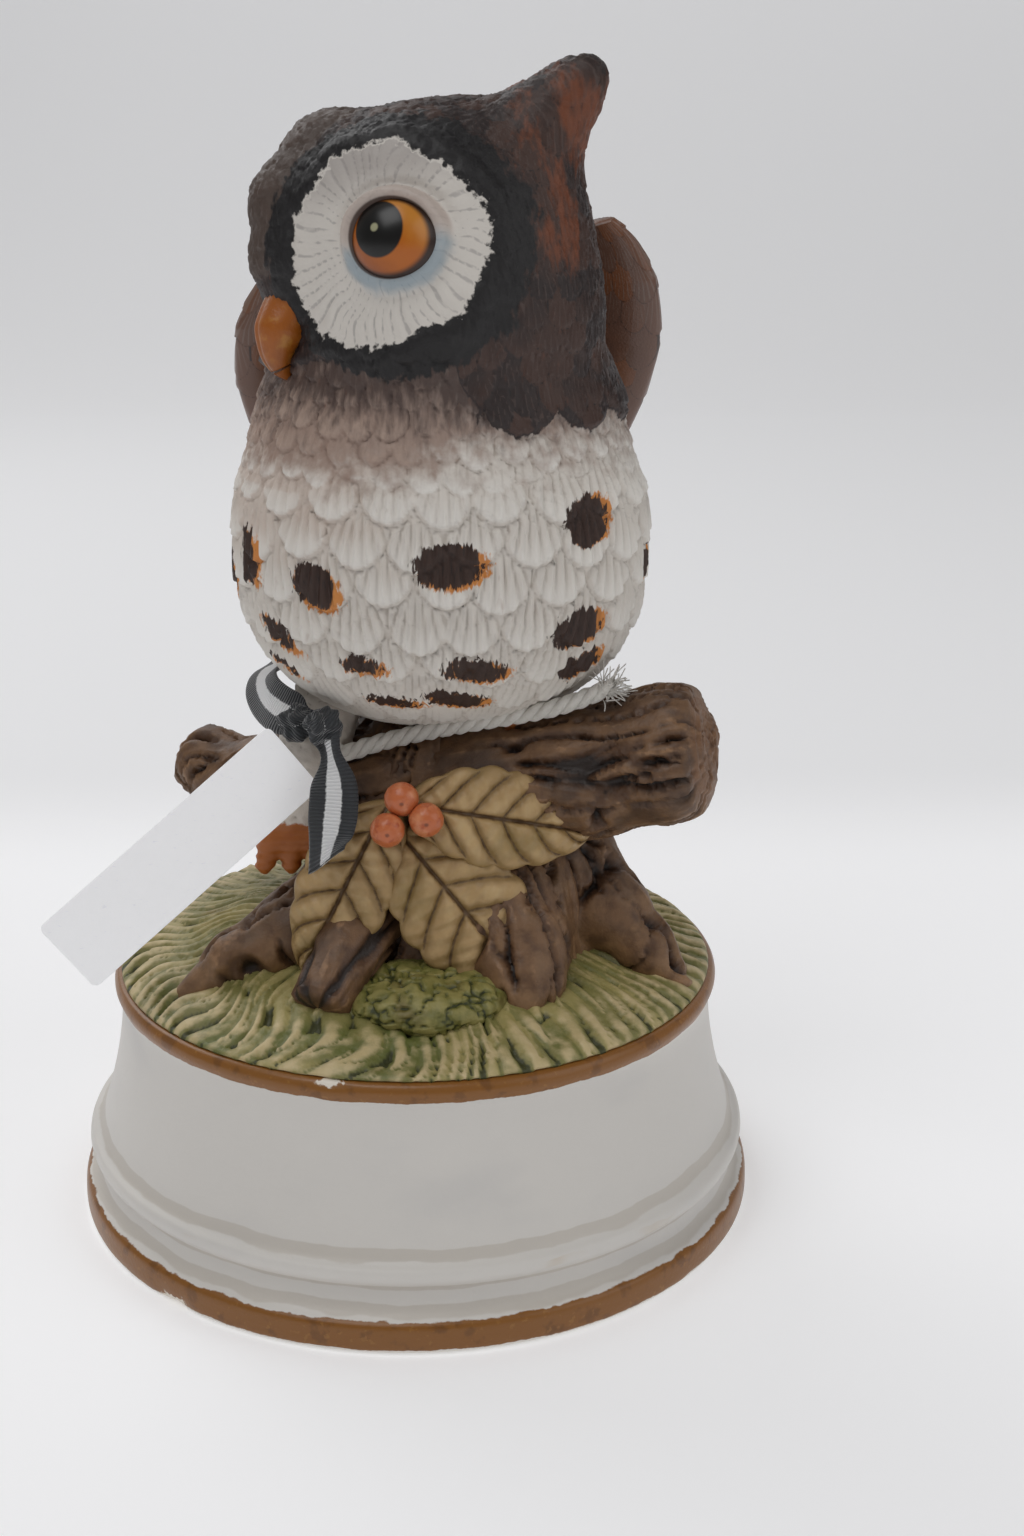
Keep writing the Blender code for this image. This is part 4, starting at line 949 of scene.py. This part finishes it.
def make_wings(plumage):
    """Folded wings: small scales on the shoulder, then long flight feathers down to the tip."""
    for name, (shoulder, bend, tip) in WINGS.items():
        outward = 1.0 if name == "wing_left" else -1.0
        t = np.linspace(0, 1, 9)[:, None]
        route = vec(*shoulder) * (1 - t) ** 2 + vec(*bend) * 2 * t * (1 - t) + vec(*tip) * t * t
        kept = {}

        def relief(s, a, p):
            outer = ease(-0.1, 0.5, np.sin(a))
            u, v = np.cos(a) * 11, -s * 62
            small, rib, pick = scales(u, v, 4.4, 3.8, 41)
            long_u = u + 1.4 * np.sin(s * 5)
            feather, shaft, long_pick = scales(long_u, v, 4.6, 15.0, 43)
            barbs = 0.10 * np.sin((v + 2.4 * np.abs(long_u % 4.6 - 2.3)) * 5.0)
            low = ease(0.36, 0.46, s)
            kept["relief"] = small * (1 - low) + feather * low
            kept["rib"] = rib * (1 - low) + barbs * 8 * low
            kept["pick"] = pick * (1 - low) + long_pick * low
            body = 0.8 * (small - 0.5) + 0.12 * rib
            flight = 1.3 * (feather - 0.5) + barbs + 0.08 * shaft
            return outer * (body * (1 - low) + flight * low)

        rings, s = limb_rings(
            route, WING_RADII, 300, 200, WING_FLATNESS, (0.45 * outward, 1, 0.25), relief
        )
        tube(name, rings, plumage, "feather_paint", [name], lower=s, **kept)


def wing_paint():
    paint = Paint("wing_glaze", (104, 74, 60), 0.34, coat_weight=0.2)
    paint.layer((122, 74, 44), paint.rough("pick", 6.0, 1.0), 0.45, 0.95, 0.8)
    flight = paint.both(paint.share("lower", 0.3, 0.8), paint.rough("relief", 3.0, 1.2))
    paint.layer((150, 92, 48), flight, 0.35, 0.95, 0.55)
    # Painted highlight: grey on the raised ribs of the shoulder feathers.
    shoulder = paint.both(paint.share("lower", 0.35, 0.1), paint.share("rib", -0.2, 0.9))
    paint.layer((128, 112, 102), shoulder, 0.3, 1.0, 0.5)
    # Painted shade: darker in the hollows between the feathers.
    paint.layer((38, 27, 24), "relief", 0.5, 0.15, 0.9)
    return paint.done(paint.grain(0.35), 0.05)


TAIL = ((4, 17, 88), (4, 24, 78), (4, 29, 67), (4, 32, 56))
TAIL_RADII, TAIL_FLATNESS = (9.0, 10.0, 10.5, 8.5), 0.3


def make_tail(plumage):
    kept = {}

    def relief(s, a, p):
        feather, shaft, pick = scales(np.cos(a) * 10.5, -s * 34, 4.2, 13.0, 51)
        kept.update(relief=feather, rib=shaft, pick=pick)
        return ease(-0.1, 0.5, np.sin(a)) * (1.2 * (feather - 0.5) + 0.12 * shaft)

    rings, s = limb_rings(TAIL, TAIL_RADII, 150, 160, TAIL_FLATNESS, (0, 1, 0.4), relief)
    tube("tail", rings, plumage, "feather_paint", ["tail"], lower=0.3 + 0.5 * s, **kept)


LEGS = {
    "foot_right": ((-11, -4, 74), (-13.4, -7.0, 67), (-15.2, -9.6, 61.5), (-15.6, -10.4, 57.5)),
    "foot_left": ((14, -3, 78), (15.0, -5.4, 75.4), (15.6, -6.8, 74.0), (16.0, -7.6, 73.0)),
}
LEG_R, TOE_R = (4.6, 4.2, 3.8, 3.2), (1.9, 1.9, 1.2)


def make_feet(down):
    """Feathered legs, each with three toes curled over the front of the log."""
    for name, route in LEGS.items():
        end = vec(*route[-1])
        toes = []
        for spin in (-1, 0, 1):
            out = vec(2.6 * spin - 0.6, -2.4, -0.4)
            toes.append([end + 0.3 * out, end + out + vec(0, 0, -1.0), end + 1.35 * out + vec(0, 0, -4.4)])

        def field(p):
            leg = limb(p, route, LEG_R, 2.0)
            for toe in toes:
                leg = merge(leg, limb(p, toe, TOE_R, 1.0), 1.2)
            return leg

        low = np.minimum(end, vec(*route[0])) - vec(8, 10, 9)
        high = np.maximum(end, vec(*route[0])) + vec(8, 7, 7)
        points, normals, quads = contour(field, low, high, OWL_STEP)
        x, y, z = points.T
        toe = ease(end[2] + 2.2, end[2] - 0.6, z) * ease(end[1] + 1.5, end[1] - 1.0, y)
        feather, rib, _ = scales(np.arctan2(x - end[0], -y + end[1]) * 4, z, 2.6, 2.4, 61)
        points = points + normals * ((1 - toe) * (0.5 * (feather - 0.5) + 0.1 * rib))[:, None]
        points = points - normals * (toe * 0.12 * np.sin(points[:, 2] * 5.0))[:, None]
        piece(name, points, quads, down, "beak_paint", [name], toe=toe, relief=feather)


def foot_paint():
    paint = Paint("foot_down", (206, 198, 188), 0.5)
    # Painted shade: darker in the hollows between the leg's feathers.
    paint.layer((140, 128, 118), "relief", 0.5, 0.15, 0.8)
    paint.layer((158, 88, 30), paint.rough("toe", 0.8, 0.6), 0.4, 0.6)
    paint.layer((150, 80, 30), paint.both("toe", paint.grain(1.4)), 0.05, 0.3, 0.7)
    return paint.done(paint.grain(0.35), 0.05)


# --- log, stump and roots ------------------------------------------------------------------------

LOG_LEFT, LOG_RIGHT = vec(-21, 5, 57), vec(39, -17, 70)
LOG_SHARES = (0.0, 0.08, 0.3, 0.52, 0.72, 0.9, 0.965)
LOG_RADII = (5.2, 7.0, 9.0, 8.9, 7.8, 7.6, 6.9)
LOG_SAG = 2.4
LOG_ROUTE = [
    LOG_LEFT + (LOG_RIGHT - LOG_LEFT) * t - vec(0, 0, LOG_SAG * math.sin(math.pi * t)) for t in LOG_SHARES
]
BRANCH = ((-16, 5, 56.5), (-22, 8, 57.0), (-27, 11, 57.4), (-29.5, 12.6, 58.6))
STUMP_C = vec(5, -3, 0)
STUMP_HEIGHTS, STUMP_WIDTHS = (36.0, 41.0, 47.0, 54.0, 60.0), (21.0, 18.6, 17.0, 16.6, 14.5)
KNOT_STUB = ((-6.0, -15.0, 46.0), (-8.5, -19.5, 43.5), (-10.8, -23.5, 40.6), (-12.4, -26.4, 38.4))
WOOD_STEP, BARK_DEPTH = 0.5, 2.1
ROOTS = {  # route, radii
    "root_left": (
        ((-8, -8, 47), (-16, -12, 43), (-24, -15, 39.5), (-30, -17.0, 35.6)), (6.2, 4.4, 3.0, 1.2)
    ),
    "root_right": (
        ((21, -6, 50), (26, -9, 44), (31, -12, 39.5), (35.0, -14.0, 35.4)), (5.5, 4.2, 3.0, 1.2)
    ),
    "root_front": (
        ((12, -14, 47), (13, -18.5, 42), (13.5, -22.5, 38.5), (13.5, -25.5, 36.0)), (7, 6.0, 4.2, 1.6)
    ),
    "root_back": (
        ((2, 10, 47), (0, 17, 42), (-3, 24, 38.5), (-6, 29, 36.0)), (7, 5.8, 4.2, 2.4)
    ),
}


def bark(points, normals, across, along, depth, seed):
    """Deep grooves that run with the grain. across and along are lengths on the surface."""
    flow = across + 1.1 * noise(flat(across, along), 7.0, seed)
    grain = flat(flow / 1.9, along / 11.0, seed)
    ridges = np.abs(noise(grain, 1.0, seed)) + 0.5 * np.abs(noise(grain * 2.1, 1.0, seed + 1))
    fine = noise(flat(flow / 0.55, along / 3.6), 1.0, seed + 2)
    lump = fractal(points, 6.0, seed + 3)
    rise = ease(0.02, 0.42, ridges)
    height = depth * (rise - 0.55) + 0.16 * fine + 0.5 * lump
    return points + normals * height[:, None], rise, fine


def make_log(wood):
    axis = unit(LOG_RIGHT - LOG_LEFT)
    side = unit(np.cross(axis, (0, 0, 1)))
    up = np.cross(side, axis)

    def field(p):
        trunk = limb(p, LOG_ROUTE, LOG_RADII, 3.0)
        saw = (p - LOG_RIGHT) @ axis + 1.6 + 1.2 * noise(p, 5.0, 6)
        trunk = -merge(-trunk, -saw, 3.6)
        return merge(trunk, limb(p, BRANCH, (5.2, 4.6, 4.2, 4.4), 2.0), 3.0)

    points, normals, quads = contour(field, (-36, -31, 43), (48, 22, 82), WOOD_STEP)
    local = points - LOG_LEFT
    along = local @ axis
    angle = np.arctan2(local @ up, local @ side)
    cut_end = ease(0.55, 0.85, normals @ axis) * ease(20, 30, along)
    stub = ease(0.45, 0.8, normals @ unit(vec(-0.8, 0.45, 0.35))) * ease(-24, -28, points[:, 0])
    lumpy, rise, fine = bark(points, normals, angle * 8.5, along, BARK_DEPTH, 71)
    end = np.maximum(cut_end, stub)
    rings = 0.16 * np.sin(np.linalg.norm(local - along[:, None] * axis, axis=1) * 4.5)
    points = lumpy * (1 - 0.85 * end[:, None]) + (points + normals * rings[:, None]) * 0.85 * end[:, None]
    piece(
        "perch_log", points, quads, wood, "bark_paint", ["perch_log", "log_branch"],
        rise=rise, fine=fine, sawn=end, pale=0.35 + 0.2 * fine,
    )


def make_stump(wood):
    squash = vec(1, 1 / 0.84, 1)
    spine = [(STUMP_C + vec(0, 0.12 * (z - 37.5), z)) * squash for z in STUMP_HEIGHTS]

    def field(p):
        trunk = limb(p * squash, spine, [w * 0.98 for w in STUMP_WIDTHS], 3.0)
        trunk = np.maximum(trunk, 34.5 - p[..., 2])
        for route, radii in ROOTS.values():
            trunk = merge(trunk, limb(p, route, radii, 2.0), 4.5)
        return np.maximum(trunk, 33.5 - p[..., 2])

    points, normals, quads = contour(field, (-36, -32, 32.5), (40, 36, 76), WOOD_STEP)
    flat = points - STUMP_C
    rho = np.hypot(flat[:, 0], flat[:, 1])
    angle = np.arctan2(flat[:, 1], flat[:, 0])
    lumpy, rise, fine = bark(points, normals, angle * 19, 0.8 * points[:, 2] - rho, BARK_DEPTH, 81)
    low = ease(44, 36, points[:, 2])
    piece(
        "stump", lumpy, quads, wood, "bark_paint", ["stump", *ROOTS],
        rise=rise, fine=fine, sawn=0 * rise, pale=0.5 + 0.4 * low,
    )


def make_knot_stub(wood):
    """The broken branch that points down at the front left."""
    kept = {}

    def relief(s, a, p):
        grain = flat(a * 2.2, s * 2.4)
        rise = ease(0.02, 0.4, np.abs(noise(grain, 1.0, 91)))
        kept.update(rise=rise, fine=noise(grain * 3, 1.0, 92))
        return 0.9 * (rise - 0.5) + 0.12 * kept["fine"]

    rings, _ = limb_rings(KNOT_STUB, (4.8, 4.4, 4.0, 3.7), 90, 72, 1.0, (0, 0, 1), relief)
    dome = rings[-1].mean(0)
    ahead = unit(vec(-0.4, -0.8, -0.5))
    closing = [dome + (rings[-1] - dome) * k + ahead * d for k, d in ((0.8, 0.7), (0.4, 1.0), (0.05, 0.9))]
    rings = np.concatenate([rings, np.stack(closing)])
    grown = {mark: np.vstack([v, np.repeat(v[-1:], 3, 0)]) for mark, v in kept.items()}
    plain = 0 * grown["rise"]
    tube("knot_stub", rings, wood, "bark_paint", ["knot_stub"], sawn=plain, pale=plain, **grown)


def bark_paint():
    paint = Paint("bark_glaze", (100, 74, 52), 0.5, (0.74, 0.66, 0.62))
    paint.layer((144, 113, 80), paint.rough("rise", 2.2, 1.6), 0.6, 1.2, 0.75)
    paint.layer((172, 140, 102), paint.both(paint.rough("pale", 3.0, 2.0), "rise"), 0.4, 1.1, 0.75)
    paint.layer((196, 160, 120), paint.both(paint.rough("fine", 1.0, 1.5), "rise"), 0.45, 1.1, 0.5)
    paint.layer((60, 42, 30), paint.grain(6.0), -0.02, 0.2, 0.6)
    paint.layer((36, 24, 17), paint.rough("rise", 0.8, 0.6), 0.6, 0.1, 0.95)
    paint.layer((150, 112, 78), paint.rough("sawn", 1.4, 1.4), 0.5, 1.2, 0.6)
    return paint.done(paint.grain(0.4), 0.08)


# --- leaves and berries --------------------------------------------------------------------------

LEAVES = {  # middle, length, width, turn in its plane, lean to the side and up, pairs of veins
    "leaf_lower": ((6.6, -20.8, 48.2), 27.0, 16.5, -52.0, 6.0, 12.0, 5),
    "leaf_upper": ((11.4, -18.6, 60.4), 25.0, 13.0, -12.0, 10.0, 14.0, 5),
    "leaf_side": ((-9.4, -19.2, 50.8), 26.0, 13.0, -114.0, -14.0, 12.0, 5),
}
BERRIES = {
    "berry_top": (-1.8, -21.4, 64.2),
    "berry_right": (1.3, -22.8, 61.9),
    "berry_left": (-3.6, -23.2, 60.7),
}
BERRY_R = 2.2


def make_leaves(clay):
    for name, (middle, length, width, turn, side, lean, pairs) in LEAVES.items():
        frame_of_leaf = turned(("Z", side), ("X", -lean), ("Y", -turn))
        s = np.linspace(0.004, 0.996, 130)[:, None]
        t = np.linspace(-1, 1, 84)[None, :]
        lobes = np.abs(np.sin(math.pi * (pairs + 1) * (s ** 0.95)))
        half = width / 2 * np.sin(math.pi * s ** 0.86) ** 0.62 * (0.94 + 0.09 * lobes)
        run = (pairs + 1) * (s + 0.02) - 1.15 * np.abs(t) ** 1.15
        from_vein = np.abs(run - np.round(run))
        spine = bell(t * half, 0.42)
        side_vein = 0.75 * bell(from_vein, 0.07) * ease(1.0, 0.9, np.abs(t)) * ease(0.02, 0.1, s)
        vein = np.maximum(spine, side_vein)
        puff = 1 - bell(from_vein, 0.22)
        edge = np.sqrt(np.clip(1 - np.abs(t) ** 5, 0, 1)) * np.sqrt(np.clip(1 - (2 * s - 1) ** 10, 0, 1))
        height = 1.3 * edge * (1 - 0.5 * t ** 2) + 0.4 * puff * edge * (1 - spine) - 0.6 * vein * edge
        height = height + 0.12 * np.sin((s * length * 3 + np.abs(t) * 9)) * edge - 2.2 * (2 * s - 1) ** 4
        x, z = (s - 0.5) * length + 0 * t, t * half
        crumple = 0.25 * noise(flat(x, z), 2.2, 7)
        front = np.stack([x, -(height + crumple), z], -1)
        back = np.stack([x, 0 * x + 2.4 + 2.2 * (2 * s - 1) ** 4, z * 0.94], -1)[:, ::-1]
        rings = vec(*middle) + np.concatenate([front, back], 1) @ frame_of_leaf.T
        marks = {"vein": vein, "puff": puff * edge}
        both = {mark: np.concatenate([v, v[:, ::-1] * 0], 1) for mark, v in marks.items()}
        tube(name, rings[:, ::-1], clay, "leaf_paint", [name], **{m: v[:, ::-1] for m, v in both.items()})


def leaf_paint():
    paint = Paint("leaf_glaze", (182, 160, 122), 0.46, (0.9, 0.78, 0.62))
    # Painted shade: darker in the dips beside the veins. Painted highlight: paler on the puffed parts between
    # them.
    paint.layer((146, 126, 88), paint.rough("puff", 3.0, 1.6), 0.75, 0.15, 0.7)
    paint.layer((206, 188, 152), paint.rough("puff", 2.5, 1.4), 0.7, 1.2, 0.65)
    paint.layer((134, 120, 74), paint.grain(6.0), 0.02, 0.22, 0.5)
    paint.layer((84, 62, 38), paint.rough("vein", 0.8, 0.8), 0.3, 0.9, 0.9)
    return paint.done(paint.grain(0.4), 0.06)


def make_berries(glaze):
    out, t, a = ball(40, 60)
    out = out[..., [0, 2, 1]] * vec(1, -1, 1)  # the pole, with its dimple, faces the front
    for k, (name, centre) in enumerate(BERRIES.items()):
        dent = 1 - 0.10 * bell(t, 0.28) + 0.025 * noise(out * 4 + k, 1.0, 13)
        rings = vec(*centre) + out * (BERRY_R * dent)[..., None]
        rest = np.repeat(bell(t, 0.2), a.size, 1)
        tube(name, rings[:, ::-1], glaze, "berry_paint", [name], dimple=rest[:, ::-1])


def berry_paint():
    paint = Paint("berry_glaze", (190, 100, 66), 0.3, (1.0, 1.1, 0.9))
    paint.layer((212, 134, 104), paint.grain(1.8), 0.0, 0.22, 0.8)
    paint.layer((160, 66, 44), paint.grain(1.1), -0.05, -0.25, 0.7)
    paint.layer((96, 44, 30), paint.rough("dimple", 0.6, 0.5), 0.45, 0.9, 0.7)
    return paint.done(paint.grain(0.5), 0.05)


# --- drum, grass and moss ------------------------------------------------------------------------

OUTSIDE = (  # radius, height
    (46.6, 0.0), (47.4, 0.6), (47.5, 2.4), (47.2, 4.0), (45.8, 5.0), (45.1, 6.4), (45.1, 8.2),
    (46.0, 9.1), (46.5, 10.0), (46.2, 11.1), (44.9, 12.0), (43.9, 14.6), (42.7, 19.0), (41.7, 24.0),
    (41.2, 28.4), (41.3, 30.8), (41.7, 31.9), (42.0, 32.8), (41.8, 33.7), (41.0, 34.3), (37.9, 34.3),
)
INSIDE = (  # radius, height
    (37.9, 30.6), (36.4, 30.6), (36.4, 27.0), (39.6, 14.0),
    (39.6, 9.9), (41.9, 9.9), (41.9, 6.6), (42.6, 0.0),
)
FOOT_TRIM = (0.75, 4.35)  # heights of the foot's brown trim
RIM_TRIM = (31.7, 32.0)  # heights over which the rim's brown trim sets in
MOULDING_SHADES = ((4.6, 6.0), (7.9, 8.9), (11.7, 13.2))  # heights of the painted shade, a beige band, in the hollows beside the mouldings
FOOT_EDGE, BEAD_STAIN = (0.0, 0.8), (9.6, 10.8)  # heights of the bare edge and the stained bead


def make_drum(bisque):
    outer = curve(OUTSIDE, 190)
    inner = np.vstack([curve((a, b), 6)[:-1] for a, b in zip(INSIDE, INSIDE[1:])] + [[INSIDE[-1]]])
    profile = np.vstack([outer, inner])
    a = circle(420)[None, :]
    r, z = profile[:, :1] + 0 * a, profile[:, 1:] + 0 * a
    place = np.stack([r * np.sin(a), -r * np.cos(a), z], -1)
    skin = np.zeros_like(r)
    shown = place[: len(outer)]
    skin[: len(outer)] = 0.035 * fractal(shown, 12.0, 17) + 0.012 * noise(shown, 2.2, 19)
    chip = bell((a - 5.55) * 44, 2.6) * bell(z - 0.4, 1.4)
    chip = chip + 0.7 * bell((a - 6.02) * 41, 2.2) * bell(z - 34, 0.9)
    chip = chip * (0.7 + 0.6 * noise(place, 1.6, 23))
    r = r + skin - 0.55 * chip * (profile[:, 1:] < 36)
    rings = np.stack([r * np.sin(a), -r * np.cos(a), z + 0 * r], -1)
    faces = grid_faces(len(profile), a.size, True)
    last = (len(profile) - 1) * a.size
    bottom = np.arange(a.size)
    closing = np.stack([last + bottom, last + (bottom + 1) % a.size, (bottom + 1) % a.size, bottom], 1)
    worn = chip + 0 * r
    rim = 0 * r
    rim[: len(outer)] = 1
    piece(
        "base_drum", rings.reshape(-1, 3), np.vstack([faces, closing]).tolist(), bisque, "white_bisque",
        ["base_drum"], chip=worn, outer=rim,
    )


def drum_paint():
    paint = Paint("drum_bisque", (219, 215, 209), 0.46)
    height = paint.both(paint.node("SeparateXYZ", 2, {0: paint.place}), 1000.0)
    paint.layer((208, 205, 201), paint.grain(26.0, (1, 1, 2)), 0.0, 0.25, 0.7)
    paint.layer((236, 232, 224), paint.band(height, *FOOT_EDGE), 0.0, 1.0, 0.8)
    # Painted shade: beige bands darken the hollows beside the mouldings.
    for low, high in MOULDING_SHADES:
        moulding_shade = paint.both("outer", paint.band(paint.rough(height, 9.0, 1.6), low, high))
        paint.layer((186, 176, 162), moulding_shade, 0.0, 1.2, 0.5)
    worn = paint.band(paint.rough(height, 5.0, 1.5), *BEAD_STAIN)
    stain = paint.both(worn, paint.share(paint.grain(22.0), 0.02, 0.2))
    paint.layer((204, 186, 160), stain, 0.2, 1.0, 0.6)
    edge = paint.rough(paint.rough(height, 5.0, 0.9), 0.8, 0.3)
    low, high = paint.band(edge, *FOOT_TRIM), paint.share(edge, *RIM_TRIM)
    for trim in (paint.both(low, "outer"), paint.both(high, "outer")):
        paint.layer((136, 88, 34), trim, 0.2, 0.8)
    tone = paint.both(paint.math("ADD", low, high), "outer")
    paint.layer((104, 64, 24), paint.both(tone, paint.share(paint.grain(2.6), 0.0, 0.2)), 0.1, 1.0, 0.6)
    paint.layer((160, 112, 52), paint.both(tone, paint.share(paint.grain(0.9), 0.08, 0.22)), 0.1, 1.0, 0.5)
    paint.layer((232, 224, 210), paint.rough("chip", 0.8, 1.0), 0.35, 0.5, 0.95)
    speck = paint.node("TexVoronoi", 0, {"Vector": paint.place, "Scale": 160.0})
    specks = paint.both(paint.share(speck, 0.055, 0.03), paint.share(paint.grain(9.0), 0.1, 0.2))
    paint.layer((120, 92, 62), specks, 0.3, 0.9, 0.8)
    gloss = paint.math("SUBTRACT", 0.48, paint.both(tone, 0.14))
    return paint.done(paint.grain(0.5), 0.04, gloss)


BLADE_W, BLADE_L = 2.6, 9.0
MOUND = ((41.0, 34.3), (40.4, 34.9), (37.2, 35.8), (31.0, 37.3), (24.0, 38.9), (14.0, 40.2), (3.0, 40.6))
MOSS_C, MOSS_R = vec(1.5, -24.4, 38.2), vec(10.4, 8.4, 3.4)


def blades(u, v, seed):
    """Overlapping pointed grass blades that run along v, and how high each lies."""
    wide, long = BLADE_W, BLADE_L
    relief, pick = np.zeros_like(u), np.zeros_like(u)
    free = np.ones(u.shape, bool)
    for back in (2, 1, 0, -1):
        row = np.floor(v / long) - back + 1
        bend = 0.5 * np.sin(v * 0.3 + 2.1 * row)
        column = np.round((u + bend) / wide - 0.5 * (row % 2))
        chance = hashed(row, column, seed)
        across = u + bend - (column + 0.5 * (row % 2) + 0.3 * (chance - 0.5)) * wide
        along = (v - (row - 0.8 + 0.7 * chance) * long) / (1.9 * long)
        half = 0.62 * wide * np.sqrt(np.clip(1 - along, 0, 1)) * ease(-0.1, 0.15, along)
        here = free & (np.abs(across) < half) & (along > 0) & (along < 1)
        crown = 1 - (across / np.maximum(half, 0.05)) ** 2
        relief = np.where(here, 0.25 + 0.75 * np.sqrt(np.clip(crown, 0, 1)) * (0.5 + 0.5 * along), relief)
        pick = np.where(here, chance, pick)
        free = free & ~here
    return relief, pick


def make_ground(grass):
    """The grassy mound: wavy blades laid outwards from the stump to the rim."""
    line = curve(MOUND, 120)
    a = circle(620)[None, :]
    r, z = line[:, :1] + 0 * a, line[:, 1:] + 0 * a
    place = np.stack([r * np.cos(a), r * np.sin(a), z], -1)
    swirl = a + 0.15 * noise(place, 17.0, 29) + 0.05 * np.sin(r * 0.2 + 5 * noise(place, 20.0, 30))
    relief, pick = blades(swirl * 34, r + 2.5 * noise(place, 12.0, 31), 33)
    lump = fractal(place, 11.0, 35)
    rim = ease(40.9, 39.2, r)
    z = z + rim * (1.3 * (relief - 0.45) + 0.9 * lump) + 0.3 * (1 - rim) * relief
    rings = np.stack([r * np.cos(a), r * np.sin(a), z], -1)
    below = ((0.5, 33.4), (0.9, 33.6), (0.94, 34.0))
    under = np.stack([place[0] * vec(1, 1, 0) * k + vec(0, 0, h) for k, h in below])
    rings = np.concatenate([under, rings])[::-1]
    marks = {"relief": relief, "pick": pick, "radius": r, "lump": lump}
    padded = {m: np.vstack([np.repeat(v[:1], 3, 0), v])[::-1] for m, v in marks.items()}
    tube("grass_mound", rings, grass, "grass_paint", ["grass_mound"], **padded)


def grass_paint():
    paint = Paint("grass_glaze", (122, 128, 78), 0.5, (1.08, 0.9, 0.78))
    paint.layer((160, 160, 108), paint.rough("pick", 7.0, 1.6), 0.3, 0.9, 0.8)
    paint.layer((92, 108, 54), paint.rough("lump", 8.0, 3.0), 0.1, -0.6, 0.85)
    # Partly worn paint and partly painted highlight: whitish on the raised blades towards the rim.
    tips = paint.both(paint.rough("relief", 2.0, 0.8), paint.share("radius", 24.0, 36.0))
    paint.layer((206, 202, 168), tips, 0.55, 0.98, 0.85)
    # Painted highlight: paler on the raised blades. Painted shade: darker in the hollows between them.
    paint.layer((186, 182, 140), paint.rough("relief", 1.5, 0.9), 0.7, 1.05, 0.6)
    paint.layer((52, 60, 30), paint.rough("relief", 1.2, 0.7), 0.5, 0.12, 0.92)
    paint.layer((118, 92, 56), paint.share(paint.grain(10.0), 0.12, 0.3), 0.0, 1.0, 0.35)
    paint.layer((128, 108, 66), "radius", 24.0, 13.0, 0.6)
    return paint.done(paint.grain(0.4), 0.08)


def make_moss(clay):
    """A pitted green cushion of moss at the front."""
    out, _, _ = ball(110, 190)
    place = MOSS_C + out * MOSS_R
    pits = np.abs(noise(place, 1.5, 37)) + 0.6 * np.abs(noise(place, 0.8, 38))
    rise = ease(0.05, 0.5, pits)
    rings = place + out * (0.55 * (rise - 0.5) + 0.9 * fractal(place, 4.0, 39))[..., None]
    marks = {"relief": rise[:, ::-1], "lump": 0 * rise}
    tube("moss_mound", rings[:, ::-1], clay, "grass_paint", ["moss_mound"], **marks)


def moss_paint():
    paint = Paint("moss_glaze", (104, 112, 56), 0.5, (1.1, 0.9, 0.8))
    # Painted highlight: paler on the raised parts.
    paint.layer((150, 154, 98), paint.rough("relief", 2.0, 1.6), 0.6, 1.3, 0.8)
    paint.layer((92, 84, 44), paint.grain(5.0), 0.05, 0.25, 0.6)
    # Painted shade: darker in the pits.
    paint.layer((46, 58, 26), paint.rough("relief", 0.9, 0.5), 0.45, 0.1, 0.9)
    return paint.done(paint.grain(0.4), 0.08)


# --- movement ------------------------------------------------------------------------------------


def metal(name, colour, dull, roughness, streak):
    paint = Paint(name, colour, roughness, metallic=1.0)
    paint.layer(dull, paint.grain(3.0), 0.0, 0.25, 0.7)
    paint.layer(tuple(int(c * 0.6) for c in dull), paint.grain(0.8, streak), 0.1, 0.3, 0.4)
    gloss = paint.math("ADD", roughness, paint.both(paint.grain(1.6), 0.3))
    return paint.done(paint.grain(0.25, streak), 0.02, gloss)


def plastic_paint():
    paint = Paint("moulded_plastic", (226, 224, 216), 0.4)
    paint.layer((200, 196, 184), paint.grain(4.0), 0.05, 0.3, 0.5)
    return paint.done(paint.grain(0.3), 0.02)


def finish_movement():
    """New materials for the CAD nodes that stay: the wind-up movement, its plate, screws and key."""
    finishes = {
        "brass": metal("brushed_brass", (214, 172, 92), (168, 126, 62), 0.32, (1, 6, 1)),
        "steel": metal("worn_steel", (196, 198, 202), (140, 140, 142), 0.28, (6, 1, 1)),
        "plastic": plastic_paint(),
    }
    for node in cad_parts.values():
        for slot in node.material_slots:
            for kind, material in finishes.items():
                if slot.material and kind in slot.material.name:
                    slot.material = material


def main():
    make_camera()
    make_world()
    make_backdrop()
    make_twine(twine_paint())
    make_ribbon(ribbon_paint())
    make_tag(card_paint())
    make_owl(owl_paint())
    make_eyes(eye_paint())
    make_beak(beak_paint())
    plumage, wood = wing_paint(), bark_paint()
    make_wings(plumage)
    make_tail(plumage)
    make_feet(foot_paint())
    make_log(wood)
    make_stump(wood)
    make_knot_stub(wood)
    make_leaves(leaf_paint())
    make_berries(berry_paint())
    make_drum(drum_paint())
    make_ground(grass_paint())
    make_moss(moss_paint())
    finish_movement()


main()
